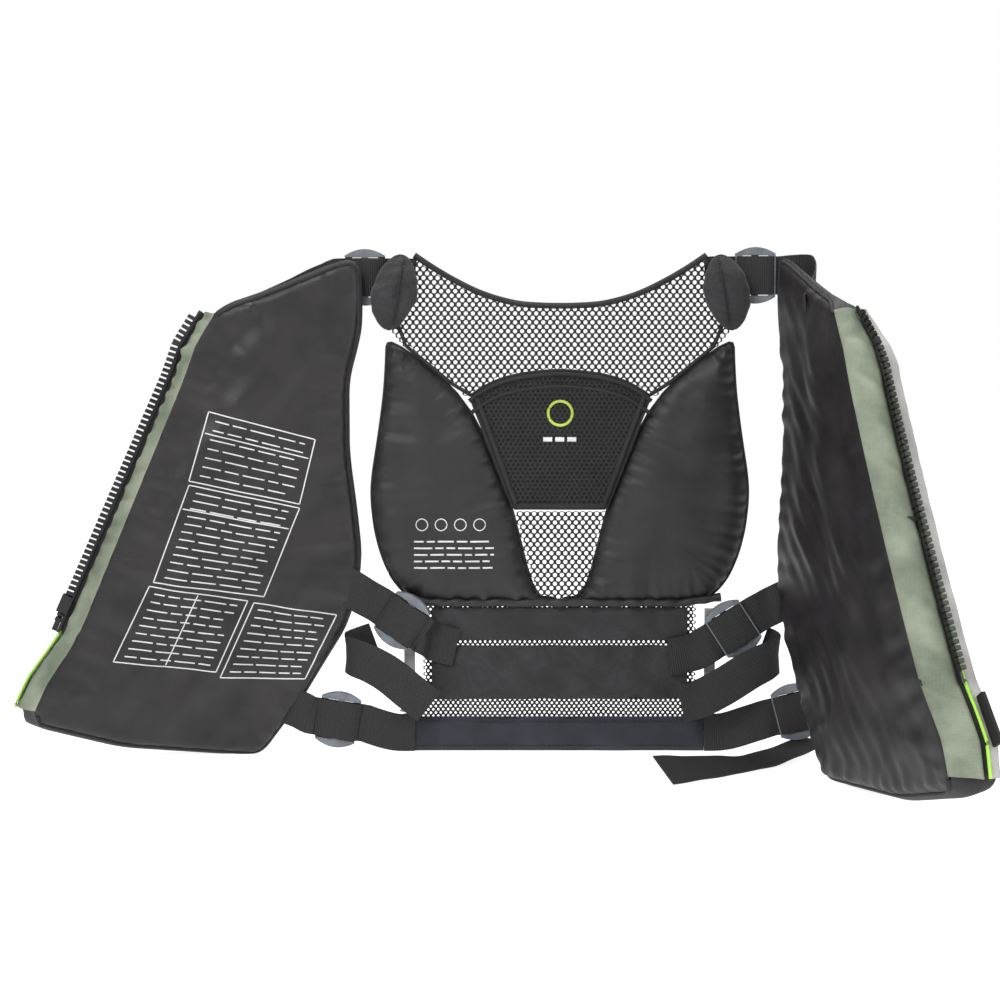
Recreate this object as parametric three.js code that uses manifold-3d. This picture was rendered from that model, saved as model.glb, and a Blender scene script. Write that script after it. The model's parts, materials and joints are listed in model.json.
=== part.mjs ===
// A paddling life jacket with a mesh back and a front zip, standing open.
// Millimetres, +Z up. The wearer's back is at Y = 0 and the wearer faces -Y.
// Names ending in _r are on the wearer's right (-X), names ending in _l on the wearer's left (+X).
import * as THREE from "three";
import { mergeVertices } from "three/addons/utils/BufferGeometryUtils.js";
import Module from "manifold-3d";

const wasm = await Module();
wasm.setup();

// ---- driving sizes ----
const GAP = 0.3; // clearance left between sewn or touching pieces
const CLOTH = 1.2; // lining and shell fabric
const MESH_T = 1.2; // open mesh
const WEB_W = 38; // webbing width
const WEB_T = 1.6; // webbing thickness
const TAPE_W = 11; // grey binding tape

// back panel
const SHOULDER_Z = 503; // top of the shoulder pads
const NECK_Z = 448; // lowest point of the neckline
const YOKE_HALF = 171; // half width where the mesh yoke meets the arm openings
const YOKE_Z = 423;
const PAD_HALF = 189; // half width over the back pads
const PAD_BOTTOM = 151; // hem of the back pads
const PAD_FRONT = -8; // front and back faces of the back pads
const PAD_BACK = 12;
const PATCH_HALF = 91; // half width of the centre patch at its top corners
const PATCH_TOP = 384;
const PATCH_BOTTOM = 245;
const LOWER_HALF = 137; // half width of the lower back mesh
const WAIST_HALF = 156; // half length of the waist band
const WAIST_H = 35;
const WAIST_T = 5;
const BAND_T = 2.4;

// front panels, drawn flat: u away from the hinge line, v up, w from the lining outwards
const FRONT_T = 46; // thickness at the zip
const SIDE_SHARE = 0.5; // thickness at the side, as a share of that at the zip
const TIP_SHARE = 0.45; // thickness at the shoulder tip, as a share of that below it
const HEM_THIN = 0.3; // how much thinner the panels are at the bottom
const GUSSET_W = 29; // height of the gusset between the lining and the zip
const FLARE = 0.06; // how far the front edge leans outwards, as a share of u
const HINGE_R = { x: -196, y: -7, top: 8, bottom: 8 };
const HINGE_L = { x: 211, y: -19, top: 78, bottom: 72 };
const TWIST_FROM = 80;
const TWIST_TO = 420;
const WALL = 2.6; // sewn edge of the shell
const FOAM_INSET = 6;
const FOAM_TOP = 9; // how far the foam stops below the outer face

// zip
const TOOTH_PITCH = 5.6;
const TOOTH_L = 7;
const TOOTH_W = 3;
const TOOTH_T = 4.4;
const TAPE_OUT = 4; // zip tape showing beyond the gusset

// adjusters: a frame whose end bars pass under the webbing and whose middle bar passes over it
const ADJ_HALF = 20; // half length along the webbing
const ADJ_RISE = 6.5; // how far the curved rails stand out
const ADJ_BAR = 7;
const ADJ_BAR_T = 2.3;
const ADJ_PLAY = 0.5; // between the webbing and the bars

const rad = THREE.MathUtils.degToRad;
const smooth = (x, a, b) => THREE.MathUtils.smoothstep(x, a, b);
const V = (x, y, z) => new THREE.Vector3(x, y, z);

// ---- shape tools ----

// Splits every edge longer than the limit at its middle, in both triangles that share it.
function subdivide(geometry, limit) {
  const loose = geometry.index ? geometry.toNonIndexed() : geometry;
  let p = Array.from(loose.attributes.position.array);
  let more = true;
  while (more) {
    more = false;
    const next = [];
    for (let i = 0; i < p.length; i += 9) {
      const t = [0, 3, 6].map((k) => p.slice(i + k, i + k + 3));
      const edge = (a, b) => Math.hypot(t[a][0] - t[b][0], t[a][1] - t[b][1], t[a][2] - t[b][2]);
      const lengths = [edge(0, 1), edge(1, 2), edge(2, 0)];
      const k = lengths.indexOf(Math.max(...lengths));
      if (lengths[k] <= limit) {
        next.push(...t[0], ...t[1], ...t[2]);
        continue;
      }
      more = true;
      const [a, b, c] = [t[k], t[(k + 1) % 3], t[(k + 2) % 3]];
      const m = [0, 1, 2].map((j) => Math.fround((a[j] + b[j]) / 2));
      next.push(...a, ...m, ...c, ...m, ...b, ...c);
    }
    p = next;
  }
  return new THREE.BufferGeometry().setAttribute("position", new THREE.Float32BufferAttribute(p, 3));
}

// Moves every corner of a geometry by a function of its place, and keeps its faces pointing outwards.
function bend(geometry, place) {
  const g = geometry.index ? geometry.toNonIndexed() : geometry;
  const p = g.attributes.position;
  const out = [];
  for (let i = 0; i < p.count; i++) {
    out.push(...place(p.getX(i), p.getY(i), p.getZ(i)));
  }
  const volume = (a, b, c) => a[0] * (b[1] * c[2] - b[2] * c[1]) + a[1] * (b[2] * c[0] - b[0] * c[2])
    + a[2] * (b[0] * c[1] - b[1] * c[0]);
  let sum = 0;
  for (let i = 0; i < out.length; i += 9) {
    sum += volume(out.slice(i, i + 3), out.slice(i + 3, i + 6), out.slice(i + 6, i + 9));
  }
  for (let i = 0; sum < 0 && i < out.length; i += 9) {
    for (let k = 0; k < 3; k++) {
      [out[i + k], out[i + 3 + k]] = [out[i + 3 + k], out[i + k]];
    }
  }
  return new THREE.BufferGeometry().setAttribute("position", new THREE.Float32BufferAttribute(out, 3));
}

function solid(geometry) {
  const g = geometry.clone();
  g.deleteAttribute("normal");
  g.deleteAttribute("uv");
  const m = mergeVertices(g, 1e-3);
  return new wasm.Manifold(new wasm.Mesh({
    numProp: 3,
    vertProperties: m.attributes.position.array,
    triVerts: new Uint32Array(m.index.array),
  }));
}

function geometryOf(manifold) {
  const m = manifold.getMesh();
  const v = new Float32Array(m.numVert * 3);
  for (let i = 0; i < m.numVert; i++) {
    v.set(m.vertProperties.subarray(i * m.numProp, i * m.numProp + 3), i * 3);
  }
  return new THREE.BufferGeometry()
    .setAttribute("position", new THREE.BufferAttribute(v, 3))
    .setIndex(new THREE.BufferAttribute(m.triVerts, 1));
}

// Takes tools away from a solid, and keeps the largest piece that is left.
function cut(from, ...tools) {
  const left = tools.reduce((a, b) => a.subtract(solid(b)), solid(from)).decompose();
  return geometryOf(left.sort((a, b) => b.volume() - a.volume())[0]);
}

const join = (...parts) => geometryOf(parts.map(solid).reduce((a, b) => a.add(b)));

// A flat outline of [a, b] points, thick from low to high along its third axis.
function plate(points, low, high, holes = []) {
  const shape = new THREE.Shape(points.map(([a, b]) => new THREE.Vector2(a, b)));
  for (const hole of holes) {
    shape.holes.push(new THREE.Path(hole.map(([a, b]) => new THREE.Vector2(a, b))));
  }
  const made = new THREE.ExtrudeGeometry(shape, { depth: high - low, bevelEnabled: false });
  return made.translate(0, 0, low);
}

// The same outline, moved inwards by a distance all round (outwards when it is negative).
function inset(points, distance) {
  const area = points.reduce((s, [a, b], i) => {
    const [c, d] = points[(i + 1) % points.length];
    return s + a * d - c * b;
  }, 0);
  const side = Math.sign(area) * distance;
  return points.map(([a, b], i) => {
    const [pa, pb] = points[(i + points.length - 1) % points.length];
    const [na, nb] = points[(i + 1) % points.length];
    const l1 = Math.hypot(a - pa, b - pb);
    const l2 = Math.hypot(na - a, nb - b);
    const n1 = [-(b - pb) / l1, (a - pa) / l1];
    const n2 = [-(nb - b) / l2, (na - a) / l2];
    const reach = side / Math.max(0.4, 1 + n1[0] * n2[0] + n1[1] * n2[1]);
    return [a + (n1[0] + n2[0]) * reach, b + (n1[1] + n2[1]) * reach];
  });
}

// Points along a smooth curve through a few flat points.
function spline(points, count) {
  const curve = new THREE.SplineCurve(points.map(([a, b]) => new THREE.Vector2(a, b)));
  return curve.getPoints(count).map((p) => [p.x, p.y]);
}

// A strip of a given width between a line of flat points and the same line moved sideways.
function strip(line, from, to) {
  const moved = (d) => line.map(([a, b], i) => {
    const p = line[Math.max(0, i - 1)];
    const n = line[Math.min(line.length - 1, i + 1)];
    const l = Math.hypot(n[0] - p[0], n[1] - p[1]);
    return [a + (d * (n[1] - p[1])) / l, b - (d * (n[0] - p[0])) / l];
  });
  return [...moved(from), ...moved(to).reverse()];
}

// A flat strap along a curve. It stands on edge, unless turns give its width direction
// at shares of its length, eased in between.
function strap(points, { turns = null, width = WEB_W, thick = WEB_T, steps = 12 } = {}) {
  const path = new THREE.CatmullRomCurve3(points.map((p) => V(...p)), false, "centripetal");
  const corners = [[-1, -1], [1, -1], [1, 1], [-1, 1]].map(([a, b]) => new THREE.Vector2(a, b));
  const bar = new THREE.ExtrudeGeometry(new THREE.Shape(corners), { depth: 1, steps, bevelEnabled: false });
  return bend(bar, (a, b, t) => {
    const s = THREE.MathUtils.clamp(t, 0, 1);
    const along = path.getTangentAt(s);
    const across = V(0, 0, -1);
    if (turns) {
      const k = Math.max(0, turns.findLastIndex(([from]) => from <= s));
      const [s0, d0] = turns[k];
      const [s1, d1] = turns[Math.min(k + 1, turns.length - 1)];
      across.set(...d0).lerp(V(...d1), s1 > s0 ? (s - s0) / (s1 - s0) : 0);
    }
    across.addScaledVector(along, -across.dot(along)).normalize();
    const normal = new THREE.Vector3().crossVectors(along, across);
    const at = path.getPointAt(s);
    at.addScaledVector(across, (a * width) / 2);
    at.addScaledVector(normal, (b * thick) / 2);
    return at.toArray();
  });
}

const object = new THREE.Group();
object.name = "life_jacket";

function add(name, geometry, colour, roughness, metalness = 0) {
  const g = geometry.clone();
  g.computeVertexNormals();
  const mesh = new THREE.Mesh(g, new THREE.MeshStandardMaterial({ color: colour, roughness, metalness }));
  mesh.name = name;
  object.add(mesh);
}

const BLACK = 0x1c1b1d;
const NYLON = 0x3a3739;
const WEBBING = 0x232324;
const GREY = 0x8c8a8a;
const PLASTIC = 0xa6aeb0;
const NAVY = 0x2d2e3a;
const OLIVE = 0x7c8270;
const PLACKET = 0xafacaa;
const LIME = 0xaae650;
const FOAM = 0xd8d8d2;

const sides = [["r", -1], ["l", 1]];
const mirror = (points, side) => (side > 0 ? points : points.map(([a, b]) => [-a, b]));

// ---- back panel: outlines across (a) and up (b), thickness along Y ----
const upright = (geometry, forward = 0) => bend(geometry, (a, b, c) => [a, c + forward, b]);

const neckHalf = spline([
  [0, NECK_Z], [40, NECK_Z + 2], [80, NECK_Z + 13], [119, NECK_Z + 33], [145, SHOULDER_Z - 5],
], 8);
const patchArc = spline([
  [0, PATCH_TOP], [36, PATCH_TOP - 3], [68, PATCH_TOP - 12], [PATCH_HALF, PATCH_TOP - 27],
], 5);
const bothWays = (half) => [...half.slice(1).reverse().map(([a, b]) => [-a, b]), ...half];

const yoke = [
  ...bothWays(neckHalf),
  [YOKE_HALF, YOKE_Z],
  [PATCH_HALF + GAP, PATCH_TOP - 27 + GAP],
  ...bothWays(patchArc).reverse().slice(1, -1).map(([a, b]) => [a, b + GAP]),
  [-PATCH_HALF - GAP, PATCH_TOP - 27 + GAP],
  [-YOKE_HALF, YOKE_Z],
];
add("yoke_mesh", upright(plate(yoke, 0, MESH_T)), BLACK, 0.75);

const patch = [
  ...bothWays(patchArc),
  [50, PATCH_BOTTOM + 8],
  [47, PATCH_BOTTOM],
  [-47, PATCH_BOTTOM],
  [-50, PATCH_BOTTOM + 8],
];
add("centre_patch", upright(plate(inset(patch, GAP / 2), -4, 3)), BLACK, 0.85);

const panelMesh = [
  [47, PATCH_BOTTOM - GAP], [25, PAD_BOTTOM + 6], [-25, PAD_BOTTOM + 6], [-47, PATCH_BOTTOM - GAP],
];
add("lower_panel_mesh", upright(plate(inset(panelMesh, GAP / 2), 0, MESH_T)), BLACK, 0.75);

// each back pad is a tray of fabric around a foam insert, closed by a sheet at the back
const padOuter = spline([
  [YOKE_HALF + 2, YOKE_Z - 3], [PAD_HALF - 14, 372], [PAD_HALF - 8, 324], [PAD_HALF - 1, 280],
  [PAD_HALF, 251],
  [PAD_HALF - 6, 210], [PAD_HALF - 21, 173], [PAD_HALF - 38, PAD_BOTTOM + 6],
], 12);
const padHalf = [
  ...padOuter,
  [PAD_HALF - 44, PAD_BOTTOM + 1],
  [90, PAD_BOTTOM - 2],
  [2, PAD_BOTTOM - 3],
  [2, PAD_BOTTOM + 5],
  [25 + GAP, PAD_BOTTOM + 6],
  [47 + GAP, PATCH_BOTTOM - GAP],
  [50 + GAP, PATCH_BOTTOM + 8],
  [PATCH_HALF + GAP, PATCH_TOP - 28],
];
for (const [tag, side] of sides) {
  const outline = inset(mirror(padHalf, side), GAP / 2);
  const front = PAD_FRONT;
  const back = PAD_BACK;
  const inner = inset(outline, 2.5);
  const tray = cut(plate(outline, front, back), plate(inner, front + CLOTH, back + 5));
  add(`back_pad_cover_${tag}`, upright(tray), BLACK, 0.5);
  add(`back_pad_sheet_${tag}`, upright(plate(outline, back + GAP, back + GAP + CLOTH)), BLACK, 0.55);
  add(`back_pad_foam_${tag}`, upright(plate(inset(outline, 2.9), front + CLOTH + GAP, back)), FOAM, 0.9);
}

// shoulder pads: they roll from the neckline over towards the arm opening
const shoulderPad = [
  [146, SHOULDER_Z - 5], [164, SHOULDER_Z], [172, SHOULDER_Z - 16], [174, YOKE_Z + 8], [171.2, YOKE_Z + 1],
];
for (const [tag, side] of sides) {
  const rolled = subdivide(plate(mirror(shoulderPad, side), -5, 5), 26);
  const placed = bend(rolled, (a, b, c) => {
    const across = (Math.abs(a) - 146) / 28;
    const roll = Math.sin(Math.PI * THREE.MathUtils.clamp(across, 0, 1)) * 9;
    return [a, c - roll + 4, b];
  });
  add(`shoulder_pad_${tag}`, placed, BLACK, 0.8);
}

// ---- lower back ----
const meshSide = (side) => [
  [side * LOWER_HALF, PAD_BOTTOM - 3.3],
  [side * LOWER_HALF, 62],
  [side * (WAIST_HALF - 6), WAIST_H + GAP],
];
const lowerMesh = [...meshSide(-1).reverse(), ...meshSide(1)];
add("lower_back_mesh", upright(plate(lowerMesh, 0.2, 0.2 + MESH_T)), BLACK, 0.75);

const bandHalf = LOWER_HALF - TAPE_W + 3;
const band = (low, high) => [[-bandHalf, low], [bandHalf, low], [bandHalf, high], [-bandHalf, high]];
add("upper_band", upright(plate(band(113, PAD_BOTTOM - 5), -BAND_T, -0.1)), BLACK, 0.85);
add("lumbar_band", upright(plate(band(53, 108), -BAND_T - 1, -0.1)), BLACK, 0.75);

// a flat rectangle between two heights, standing on edge
const rectangle = (from, to, low, high) => [[from, low], [to, low], [to, high], [from, high]];
const waistPlate = plate(rectangle(-WAIST_HALF, WAIST_HALF, 0, WAIST_H), -WAIST_T / 2, WAIST_T / 2);
add("waist_band", upright(subdivide(waistPlate, 60)), NAVY, 0.7);

for (const [tag, side] of sides) {
  const edge = side * (LOWER_HALF - TAPE_W / 2 + 3.4);
  const tape = rectangle(edge - TAPE_W / 2, edge + TAPE_W / 2, 64, PAD_BOTTOM - 5);
  // below the lumbar band the tape runs on as a loop that keeps the strap's free end
  const loop = strap(
    [
      [edge, -1.2, 68], [edge + side * 0.4, -2.4, 63], [edge - side * 1, -8, 58], [edge - side * 4, -15, 52],
      [edge - side * 3, -18, 45], [edge + side * 5, -11, 42], [side * 145, -3, 41.5],
    ],
    {
      turns: [[0, [1, 0, 0]], [0.25, [1, 0, 0]], [0.55, [0.8, 0, 0.5 * side]], [1, [1, 0, 0.1]]],
      width: TAPE_W - 0.4,
      thick: 0.9,
    },
  );
  add(`side_binding_${tag}`, join(upright(plate(tape, -BAND_T, -0.1)), loop), GREY, 0.6);
  // the waist band's end is bound by a folded tape
  const end = side * (WAIST_HALF + GAP + 0.9);
  const leg = rectangle(end, end - side * TAPE_W, 0.5, WAIST_H);
  const fold = WAIST_T / 2 + 1.4;
  const clip = join(
    upright(plate(rectangle(end - 0.9, end + 0.9, 0.5, WAIST_H + 2), -fold, fold)),
    upright(plate(leg, -fold, -WAIST_T / 2 - GAP)),
    upright(plate(leg, WAIST_T / 2 + GAP, fold)),
  );
  add(`waist_binding_${tag}`, clip, GREY, 0.6);
}

// ---- front panels ----
const SHIFT = 14.5; // from the side of the panel drawn below to the hinge line
const shifted = (points) => points.map(([a, b]) => [a - SHIFT, b]);
const frontLine = shifted([[160, 440], [179, 408], [190, 376], [251, 230], [296, 122], [326, 78], [338, 50]]);
const sideLine = shifted([
  [330, 36], [248, 13], [118, 0], [80, 52], [31, 135], [19, 193], [24, 245], [31, 300], [31, 375], [22, 410],
  [18, 432], [19, 491], [38, 488], [106, 459],
]);
const frontOutline = [...frontLine, ...sideLine];

// Places a point of a flat front panel in space.
function onPanel(hinge, side) {
  return (u, v, w) => {
    const height = THREE.MathUtils.clamp(v, TWIST_FROM, TWIST_TO);
    const turn = rad(THREE.MathUtils.mapLinear(height, TWIST_FROM, TWIST_TO, hinge.bottom, hinge.top));
    const atSide = SIDE_SHARE + (1 - SIDE_SHARE) * smooth(u, 0, 110);
    const atTip = 1 - (1 - TIP_SHARE) * smooth(v, 385, 470);
    const atHem = 1 - HEM_THIN * (1 - smooth(v, 10, 110));
    const out = w * atSide * atTip * atHem;
    const along = u * (1 + (FLARE * Math.min(Math.max(w, 0), GUSSET_W)) / GUSSET_W);
    return [
      hinge.x + side * (along * Math.cos(turn) + out * Math.sin(turn)),
      hinge.y - along * Math.sin(turn) + out * Math.cos(turn),
      v,
    ];
  };
}

const fronts = { r: onPanel(HINGE_R, -1), l: onPanel(HINGE_L, 1) };
const FACET = 62;
const shaped = (geometry, tag) => bend(subdivide(geometry, FACET), fronts[tag]);

// the comb of teeth along the edge of the zip tape
function combLine() {
  const line = frontLine.slice(0, 5);
  const path = new THREE.CurvePath();
  for (let i = 0; i + 1 < line.length; i++) {
    path.add(new THREE.LineCurve(new THREE.Vector2(...line[i]), new THREE.Vector2(...line[i + 1])));
  }
  return path;
}

// a cord along the tape with a row of teeth moulded round it
function teeth(offset, middle) {
  const path = combLine();
  const length = path.getLength();
  const corner = (s, d) => {
    const p = path.getPointAt(s / length);
    const t = path.getTangentAt(s / length);
    return [p.x - t.y * d, p.y + t.x * d];
  };
  const count = Math.floor((length - 12) / TOOTH_PITCH);
  const blocks = [];
  for (let i = 0; i < count; i++) {
    const from = 8 + i * TOOTH_PITCH;
    const to = from + TOOTH_W;
    const tip = offset + TOOTH_L;
    const tooth = [corner(from, offset), corner(from, tip), corner(to, tip), corner(to, offset)];
    blocks.push(plate(tooth, middle - TOOTH_T / 2, middle + TOOTH_T / 2));
  }
  const cord = strip(frontLine.slice(0, 5), 1.6 - offset, -offset - 0.7);
  return join(plate(cord, middle - 1, middle + 1), ...blocks);
}

for (const [tag, side] of sides) {
  const lining = plate(frontOutline, 0, CLOTH);
  add(`front_lining_${tag}`, shaped(lining, tag), NYLON, 0.5);

  // the shell is a tray, open towards the lining and along the zip
  const walls = inset(frontOutline, WALL);
  const last = frontLine.length - 1;
  const beyond = frontLine.map(([a, b], i) => [a + 30, b - (i === 0 ? WALL : 0) + (i === last ? WALL : 0)]);
  const cavity = [walls[0], ...beyond, ...walls.slice(last)];
  const body = cut(
    plate(frontOutline, CLOTH + 0.5, FRONT_T),
    plate(cavity, -5, FRONT_T - 2),
  );
  add(`front_shell_${tag}`, shaped(body, tag), NYLON, 0.6);
  const foam = plate(inset(frontOutline, FOAM_INSET), CLOTH + 1.4, FRONT_T - FOAM_TOP);
  add(`front_foam_${tag}`, shaped(foam, tag), FOAM, 0.9);

  const edge = frontLine.slice(0, 6);
  const gusset = plate(strip(edge, -0.5, -1.9), CLOTH + 0.6, GUSSET_W);
  add(`front_gusset_${tag}`, shaped(gusset, tag), OLIVE, 0.65);
  const tape = plate(strip(edge.slice(0, 5), -GAP, -TAPE_OUT), GUSSET_W + 0.8, GUSSET_W + 2);
  add(`zip_tape_${tag}`, shaped(tape, tag), BLACK, 0.8);
  const piping = strip(edge, -0.6, -4.2);
  add(`piping_${tag}`, shaped(plate(piping, GUSSET_W + 2.8, GUSSET_W + 5.2), tag), LIME, 0.5);
  const placket = strip(edge, -0.6, -2.4);
  add(`placket_${tag}`, shaped(plate(placket, GUSSET_W + 6.1, FRONT_T), tag), PLACKET, 0.65);
}

// the zip teeth, the lash loop and the slider with its pull
const TEETH_W = GUSSET_W + 1.4; // middle of the teeth, from the lining
for (const [tag] of sides) {
  add(`zip_teeth_${tag}`, bend(teeth(TAPE_OUT + 0.5 + 1.6, TEETH_W), fronts[tag]), BLACK, 0.35);
}
// The slider runs on the teeth of the wearer's right panel. Its own axes are along the zip,
// outwards from it and away from the lining.
const SLIDER_V = 148;
const zipPoint = (v) => {
  const u = THREE.MathUtils.mapLinear(v, 230, 122, 251, 296) - SHIFT;
  return V(...fronts.r(u, v, TEETH_W));
};
const alongZip = zipPoint(220).sub(zipPoint(140)).normalize();
const offZip = V(...fronts.r(300, SLIDER_V, TEETH_W)).sub(V(...fronts.r(250, SLIDER_V, TEETH_W)));
offZip.addScaledVector(alongZip, -offZip.dot(alongZip)).normalize();
const awayZip = new THREE.Vector3().crossVectors(alongZip, offZip);
const zipFrame = new THREE.Matrix4().makeBasis(alongZip, offZip, awayZip).setPosition(zipPoint(SLIDER_V));
const onZip = (geometry) => bend(geometry, (a, b, c) => V(a, b, c).applyMatrix4(zipFrame).toArray());
const cuboid = (a, b, c) => new THREE.BoxGeometry(a[1] - a[0], b[1] - b[0], c[1] - c[0])
  .translate((a[0] + a[1]) / 2, (b[0] + b[1]) / 2, (c[0] + c[1]) / 2);
const toothTop = TAPE_OUT + 2.1 + TOOTH_L;
const SLIDER_IN = 5; // inner edge of the slider, clear of the piping
const BAIL_C = 8.6; // height of the bail's bar
const away = awayZip.y > 0 ? 1 : -1; // +1 when the frame's third axis points away from the lining
const sliderBody = cut(
  cuboid([-9, 9], [SLIDER_IN, toothTop + 3], [-5, 5]),
  cuboid([-10, 10], [SLIDER_IN - 1, toothTop + 0.8], [-TOOTH_T / 2 - 0.7, TOOTH_T / 2 + 0.7]),
);
const post = (b) => cuboid([-7, -3.4], [b, b + 1.6], [4.5, BAIL_C + 1.1]);
const bailBar = new THREE.CylinderGeometry(1.1, 1.1, toothTop + 3 - SLIDER_IN - 0.4, 12)
  .translate(-5.2, (toothTop + 3 + SLIDER_IN) / 2, BAIL_C);
const slider = join(sliderBody, post(SLIDER_IN), post(toothTop + 1.4), bailBar);
const flip = (geometry) => bend(geometry, (a, b, c) => [a, b, away * c]);
add("zip_slider", onZip(flip(slider)), BLACK, 0.35);
const tab = new THREE.Shape();
tab.absarc(-5.2, BAIL_C, 2.6, -Math.PI / 2, Math.PI / 2, false);
tab.lineTo(-30, BAIL_C + 1.4);
tab.lineTo(-30, BAIL_C - 1.4);
tab.closePath();
const eye = new THREE.Path();
eye.absarc(-5.2, BAIL_C, 1.5, 0, 2 * Math.PI, true);
tab.holes.push(eye);
const pullWide = 5.4;
const pullMid = (SLIDER_IN + toothTop + 3) / 2;
const pull = bend(
  new THREE.ExtrudeGeometry(tab, { depth: pullWide, bevelEnabled: false, curveSegments: 8 }),
  (a, c, b) => [a, pullMid - pullWide / 2 + b, c],
);
add("zip_pull", onZip(flip(pull)), BLACK, 0.5);

const LOOP_V = 92; // height of the lash loop's middle
const loopU = THREE.MathUtils.mapLinear(LOOP_V, 122, 78, 296, 326) - SHIFT;
const loopLine = [[loopU - 13, LOOP_V + 19], [loopU + 13, LOOP_V - 19]];
add("lash_loop_l", shaped(plate(strip(loopLine, -3, -14), FRONT_T - 7, FRONT_T - 3.6), "l"), WEBBING, 0.7);

// ---- webbing ----
// What a strap sewn to a front panel is trimmed to, so that it ends at the panel's side.
const blanks = {};
for (const [tag] of sides) {
  blanks[tag] = shaped(plate(inset(frontOutline, -GAP - 0.3), -0.6, FRONT_T + 1), tag);
}

// A straight run of webbing, from its middle, its heading in plan and its slope, both in degrees.
function run(x, y, z, heading, slope) {
  const h = rad(heading);
  const s = rad(slope);
  const along = V(Math.cos(h) * Math.cos(s), Math.sin(h) * Math.cos(s), Math.sin(s));
  const across = V(Math.cos(h) * Math.sin(s), Math.sin(h) * Math.sin(s), -Math.cos(s));
  const matrix = new THREE.Matrix4()
    .makeBasis(along, across, new THREE.Vector3().crossVectors(along, across)).setPosition(x, y, z);
  return {
    at: (d) => V(x, y, z).addScaledVector(along, d).toArray(),
    place: (a, b, c) => V(a, b, c).applyMatrix4(matrix).toArray(),
  };
}

function adjuster(where) {
  const half = WEB_W / 2 + 1;
  const deep = WEB_T / 2 + ADJ_PLAY + ADJ_BAR_T;
  const rail = (s) => {
    const arc = [];
    for (let i = 0; i <= 8; i++) {
      const k = (i / 8) * 2 - 1;
      arc.push([ADJ_HALF * k, s * (half + 1.6 + ADJ_RISE * (1 - k * k))]);
    }
    return plate([[ADJ_HALF, s * half], [-ADJ_HALF, s * half], ...arc], -deep, deep);
  };
  const bar = (low, high, from, to) =>
    plate([[low, -half - 0.5], [high, -half - 0.5], [high, half + 0.5], [low, half + 0.5]], from, to);
  const whole = join(
    bend(rail(1), (...p) => p),
    bend(rail(-1), (...p) => p),
    bar(-ADJ_HALF, -ADJ_HALF + ADJ_BAR, -deep, -deep + ADJ_BAR_T),
    bar(ADJ_HALF - ADJ_BAR, ADJ_HALF, -deep, -deep + ADJ_BAR_T),
    bar(-ADJ_BAR / 2, ADJ_BAR / 2, deep - ADJ_BAR_T, deep),
  );
  return bend(whole, where.place);
}

// where the adjusters sit: the upper and shoulder ones on the back, the waist ones on the fronts
const runs = {
  upper_r: run(-158, -14, 135, 171, 33),
  upper_l: run(173, -16, 127, -5, 33),
  waist_r: run(-223, -10, 34, 187, 10),
  waist_l: run(235.5, -21, 44, -5, 15),
  shoulder_r: run(-195, 12.6, 477, 180, 0),
  shoulder_l: run(195, 12.6, 479, 0, 0),
};
for (const [name, where] of Object.entries(runs)) {
  add(`adjuster_${name}`, adjuster(where), PLASTIC, 0.4);
}

// A strap that crosses the hinge line of a front panel is one piece on the back and one on the front.
function crossing(name, tag, points, steps) {
  const side = tag === "r" ? -1 : 1;
  const hinge = tag === "r" ? HINGE_R : HINGE_L;
  const whole = strap(points, { steps });
  const block = (from, to) => new THREE.BoxGeometry(to - from, 900, 900).translate((from + to) / 2, 0, 300);
  const clear = 2;
  const outside = side < 0 ? block(-900, hinge.x + clear) : block(hinge.x - clear, 900);
  const inside = side < 0 ? block(hinge.x - clear, 900) : block(-900, hinge.x + clear);
  add(`${name}_back_${tag}`, cut(whole, outside), WEBBING, 0.7);
  add(`${name}_front_${tag}`, cut(whole, inside, blanks[tag]), WEBBING, 0.7);
}

// points that keep a strap straight where it runs through an adjuster
const straight = (where) => [-8, -3].map((d) => where.at(d - ADJ_HALF))
  .concat([3, 8].map((d) => where.at(d + ADJ_HALF)));
const inFront = -(BAND_T + 1) - GAP - WEB_T / 2;
const onWaist = -(WAIST_T / 2 + 1.4) - 0.6 - WEB_T / 2;
crossing("upper_strap", "r", [
  [-112, inFront - 0.4, 108], [-121, inFront - 1.3, 110.5], [-128, inFront - 4, 113],
  ...straight(runs.upper_r),
  [-196, -7.4, 158], [-212, -8, 168], [-232, -8, 180],
], 22);
crossing("upper_strap", "l", [
  [118, inFront - 0.3, 98], [130, inFront - 0.5, 100.5], [139, inFront - 4, 104], ...straight(runs.upper_l),
  [212, -19.5, 151], [221, -30, 158], [229, -48, 163], [236, -66, 166],
], 21);
crossing("waist_strap", "r", [
  [-146, onWaist, 19.6], [-166, onWaist, 20], [-190, -6.6, 27], ...straight(runs.waist_r),
  [-262, -14, 45], [-300, -15, 58],
], 20);
crossing("waist_strap", "l", [
  [146, onWaist, 19.6], [166, onWaist, 20.5], [192, -13, 30], ...straight(runs.waist_l),
  [268, -36, 52], [266, -62, 56], [250, -92, 60],
], 24);

// the free ends of the upper straps turn back through the keeper loops
add("upper_tail_r", strap([
  [-186, 1, 112], [-200, 2.5, 107], [-211, 0, 103], [-214.5, -8, 100.5], [-207, -16, 98], [-192, -20, 93],
  [-172, -21.5, 82], [-150, -21, 64], [-131, -20.3, 49],
], { steps: 18 }), WEBBING, 0.7);
add("upper_tail_l", strap([
  [203, -9, 110], [214, -15, 105.5], [217, -23, 102], [208, -31, 98], [188, -33, 88], [160, -27.7, 69],
  [137, -21.2, 56], [121, -19.7, 52],
], { steps: 18 }), WEBBING, 0.7);
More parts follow.
